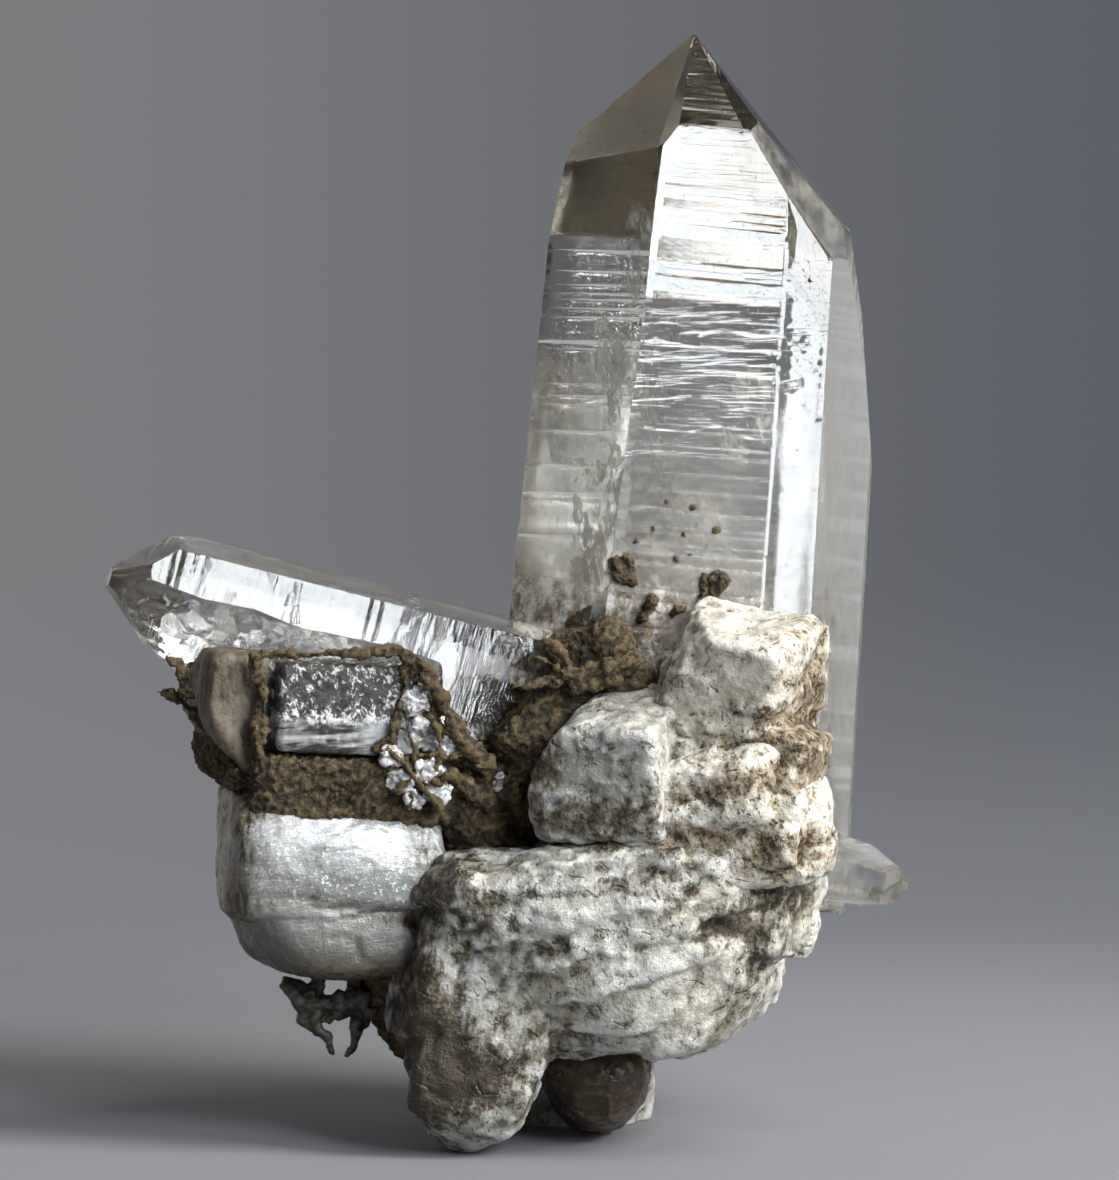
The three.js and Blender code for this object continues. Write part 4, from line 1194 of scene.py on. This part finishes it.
etchedLook = {
    # grey is painted reflection on the polished glass
    "grey": (0.46, 0.47, 0.47), "dark": (0.05, 0.046, 0.04), "white": (0.78, 0.79, 0.79),
    "tan": (0.215, 0.178, 0.128), "brown": (0.085, 0.062, 0.038), "stain": (0.03, 0.022, 0.014),
    "frostFrom": 43.4, "glassFrom": -23.4, "roughness": 0.5, "bump": 0.12,
}
rocks = (    # (piece, form, look, the solid that it replaces)
    ("feldspar_body", feldsparBody, "feldspar", "feldspar_matrix"),
    ("feldspar_ledge", feldsparLedge, "streaked", "feldspar_matrix"),
    ("feldspar_middle_block", middleBlock, "feldspar", "feldspar_matrix"),
    ("feldspar_upper_block", upperBlock, "streaked", "feldspar_matrix"),
    ("feldspar_back", feldsparBack, "feldspar", "feldspar_matrix"),
    ("silky_block", silkyBlock, "silky", "silky_feldspar_block"),
    ("etched_block", etchedBlock, "etched", "etched_feldspar_block"),
    ("iron_crust", ironCrust, "crust", "iron_stained_crust"),
    ("iron_crust_back", crustBack, "crust", "iron_stained_crust"),
    ("smoky_lump", smokyLump, "smoky", "smoky_quartz_lump"),
    ("mica_lace", micaLace, "mica", "lacy_mica_flake"),
    ("dark_grit", darkGrit, "crust", "iron_stained_crust"),
    ("pale_chips", paleChips, "glassy", "iron_stained_crust"),
)
finishes = {label: stoneFinish(label + "Stone", look) for label, look in stoneLooks.items()}
finishes["silky"] = silkyFinish("silkyStone", silkyLook)
finishes["etched"] = etchedFinish("etchedStone", etchedLook)
for name, form, look, node in rocks:
    points, quads, readings = rockSurface(form, skinSetup)
    makePiece(name, points, quads, finishes[look], [node], readings)

milkyVeil = veilFinish("milkyVeil", (0.8, 0.79, 0.74))
sheets = [veilSurface(*veil) for veil in veils]
points, quads = together([sheet[:2] for sheet in sheets])
makePiece("quartz_veils", points, quads, milkyVeil, [],
          {"rim": np.concatenate([sheet[2] for sheet in sheets])})


# The stage: a pale floor that fades out into the light all round, and soft studio light.
cameraSetup = {
    "target": (4.95, 0, 54.9),    # what the middle of the picture shows, mm
    "elevation": 4.0,
    "distance": 700.0,
    "seenHigh": 118.0,    # height that the picture spans there, mm
    "longSide": 36.0,     # sensor, mm
}
boxDistance = 0.8    # from the specimen, m
softBoxes = {    # place round the specimen in degrees, size in m, how bright its face is
    "front_box": {"azimuth": 30.6, "elevation": 16, "size": (0.12, 0.16), "glow": 19,
                  "colour": (0.9, 0.955, 1.0)},
    "strip_box": {"azimuth": 40.2, "elevation": 9.5, "size": (0.06, 0.28), "glow": 18,
                  "colour": (0.92, 0.965, 1.0)},
    "high_box": {"azimuth": 33.8, "elevation": 30.3, "size": (0.21, 0.22), "glow": 19,
                 "colour": (0.91, 0.96, 1.0)},
    "key_box": {"azimuth": 63, "elevation": 34, "size": (0.3, 0.3), "glow": 28,
                "colour": (1.0, 0.985, 0.96)},
    "top_box": {"azimuth": 60, "elevation": 60, "size": (0.3, 0.3), "glow": 8, "colour": (1.0, 0.99, 0.97)},
}
# The room: a grey backdrop behind the specimen, paler to the left and lower down, with light walls
# beside it that the crystals show, and dim towards the viewer.
room = {
    "floor": (0.225, 0.232, 0.245), "left": (0.20, 0.203, 0.21), "right": (0.112, 0.12, 0.136),
    "low": (0.22, 0.23, 0.25), "walls": (0.46, 0.46, 0.46), "front": (0.10, 0.103, 0.11),
    "ceiling": (0.17, 0.17, 0.17),
    "under": (0.25, 0.25, 0.24), "strength": 1.0,
    "radius": 260, "fade": (80, 220), "gap": 0.02,    # the floor's, and how far it lies below the part, mm
}


def makeCamera(setup):
    data = bpy.data.cameras.new("photo_camera")
    data.sensor_width = setup["longSide"]
    data.lens = setup["longSide"] * setup["distance"] / setup["seenHigh"]
    camera = added("photo_camera", data)
    back = Vector(directionOf(0, setup["elevation"]))
    camera.location = (Vector(setup["target"]) + back * setup["distance"]) * mm
    camera.rotation_euler = (-back).to_track_quat("-Z", "Y").to_euler()
    bpy.context.scene.camera = camera


def makeLights(boxes):
    middle = Vector(cameraSetup["target"]) * mm
    for name, box in boxes.items():
        data = bpy.data.lights.new(name, "AREA")
        data.shape = "RECTANGLE"
        data.size, data.size_y = box["size"]
        data.energy = np.pi * data.size * data.size_y * box["glow"]
        data.color = box["colour"]
        light = added(name, data)
        back = Vector(directionOf(box["azimuth"], box["elevation"]))
        light.location = middle + back * boxDistance
        light.rotation_euler = (-back).to_track_quat("-Z", "Y").to_euler()


# The bounds in the sky are parts of a direction of length 1: X to the right, Y ahead and Z up.
def makeRoom(look):
    world = bpy.data.worlds.new("studio")
    world.use_nodes = True
    world.node_tree.nodes.clear()
    bpy.context.scene.world = world
    paint = newPaint("floorPaint")
    far = paint.node("ShaderNodeVectorMath", {"operation": "LENGTH"}, {0: paint.place}, 1)
    pale = paint.principled(Base_Color=(*look["floor"], 1), Roughness=0.7)
    finish = paint.finished(paint.over(far.between(*look["fade"]), pale, paint.clear()))
    radius, below = look["radius"] * mm, -look["gap"] * mm
    bpy.ops.mesh.primitive_circle_add(vertices=96, radius=radius, fill_type="NGON", location=(0, 0, below))
    floor = bpy.context.object
    floor.name = "floor"
    floor.data.materials.append(finish)

    sky = Paint(world)
    sky.place = sky.node("ShaderNodeTexCoord", {}, {}, "Generated")
    x, y, z = [sky.along(axis) for axis in range(3)]
    colour = sky.mix(x.between(-0.09, 0.09), look["left"], look["right"])
    colour = sky.mix((-1 * z).between(0.06, 0.135), colour, look["low"])
    walls = sky.mix((-1 * z).between(0.12, 0.3), look["walls"], look["under"])
    walls = sky.mix(z.between(0.5, 0.8), walls, look["ceiling"])
    colour = sky.mix(y.between(0.985, 0.95), colour, walls)
    colour = sky.mix(y.between(0.45, 0.1), colour, look["front"])
    light = sky.node("ShaderNodeBackground", {}, {"Color": colour, "Strength": look["strength"]})
    sky.node("ShaderNodeOutputWorld", {}, {"Surface": light})


makeCamera(cameraSetup)
makeLights(softBoxes)
makeRoom(room)
scene = bpy.context.scene
scene.view_settings.view_transform = "Standard"
allBounces, glassBounces = 20, 16
scene.cycles.max_bounces = allBounces
scene.cycles.transmission_bounces = glassBounces
scene.cycles.transparent_max_bounces = glassBounces
scene.cycles.use_denoising = True
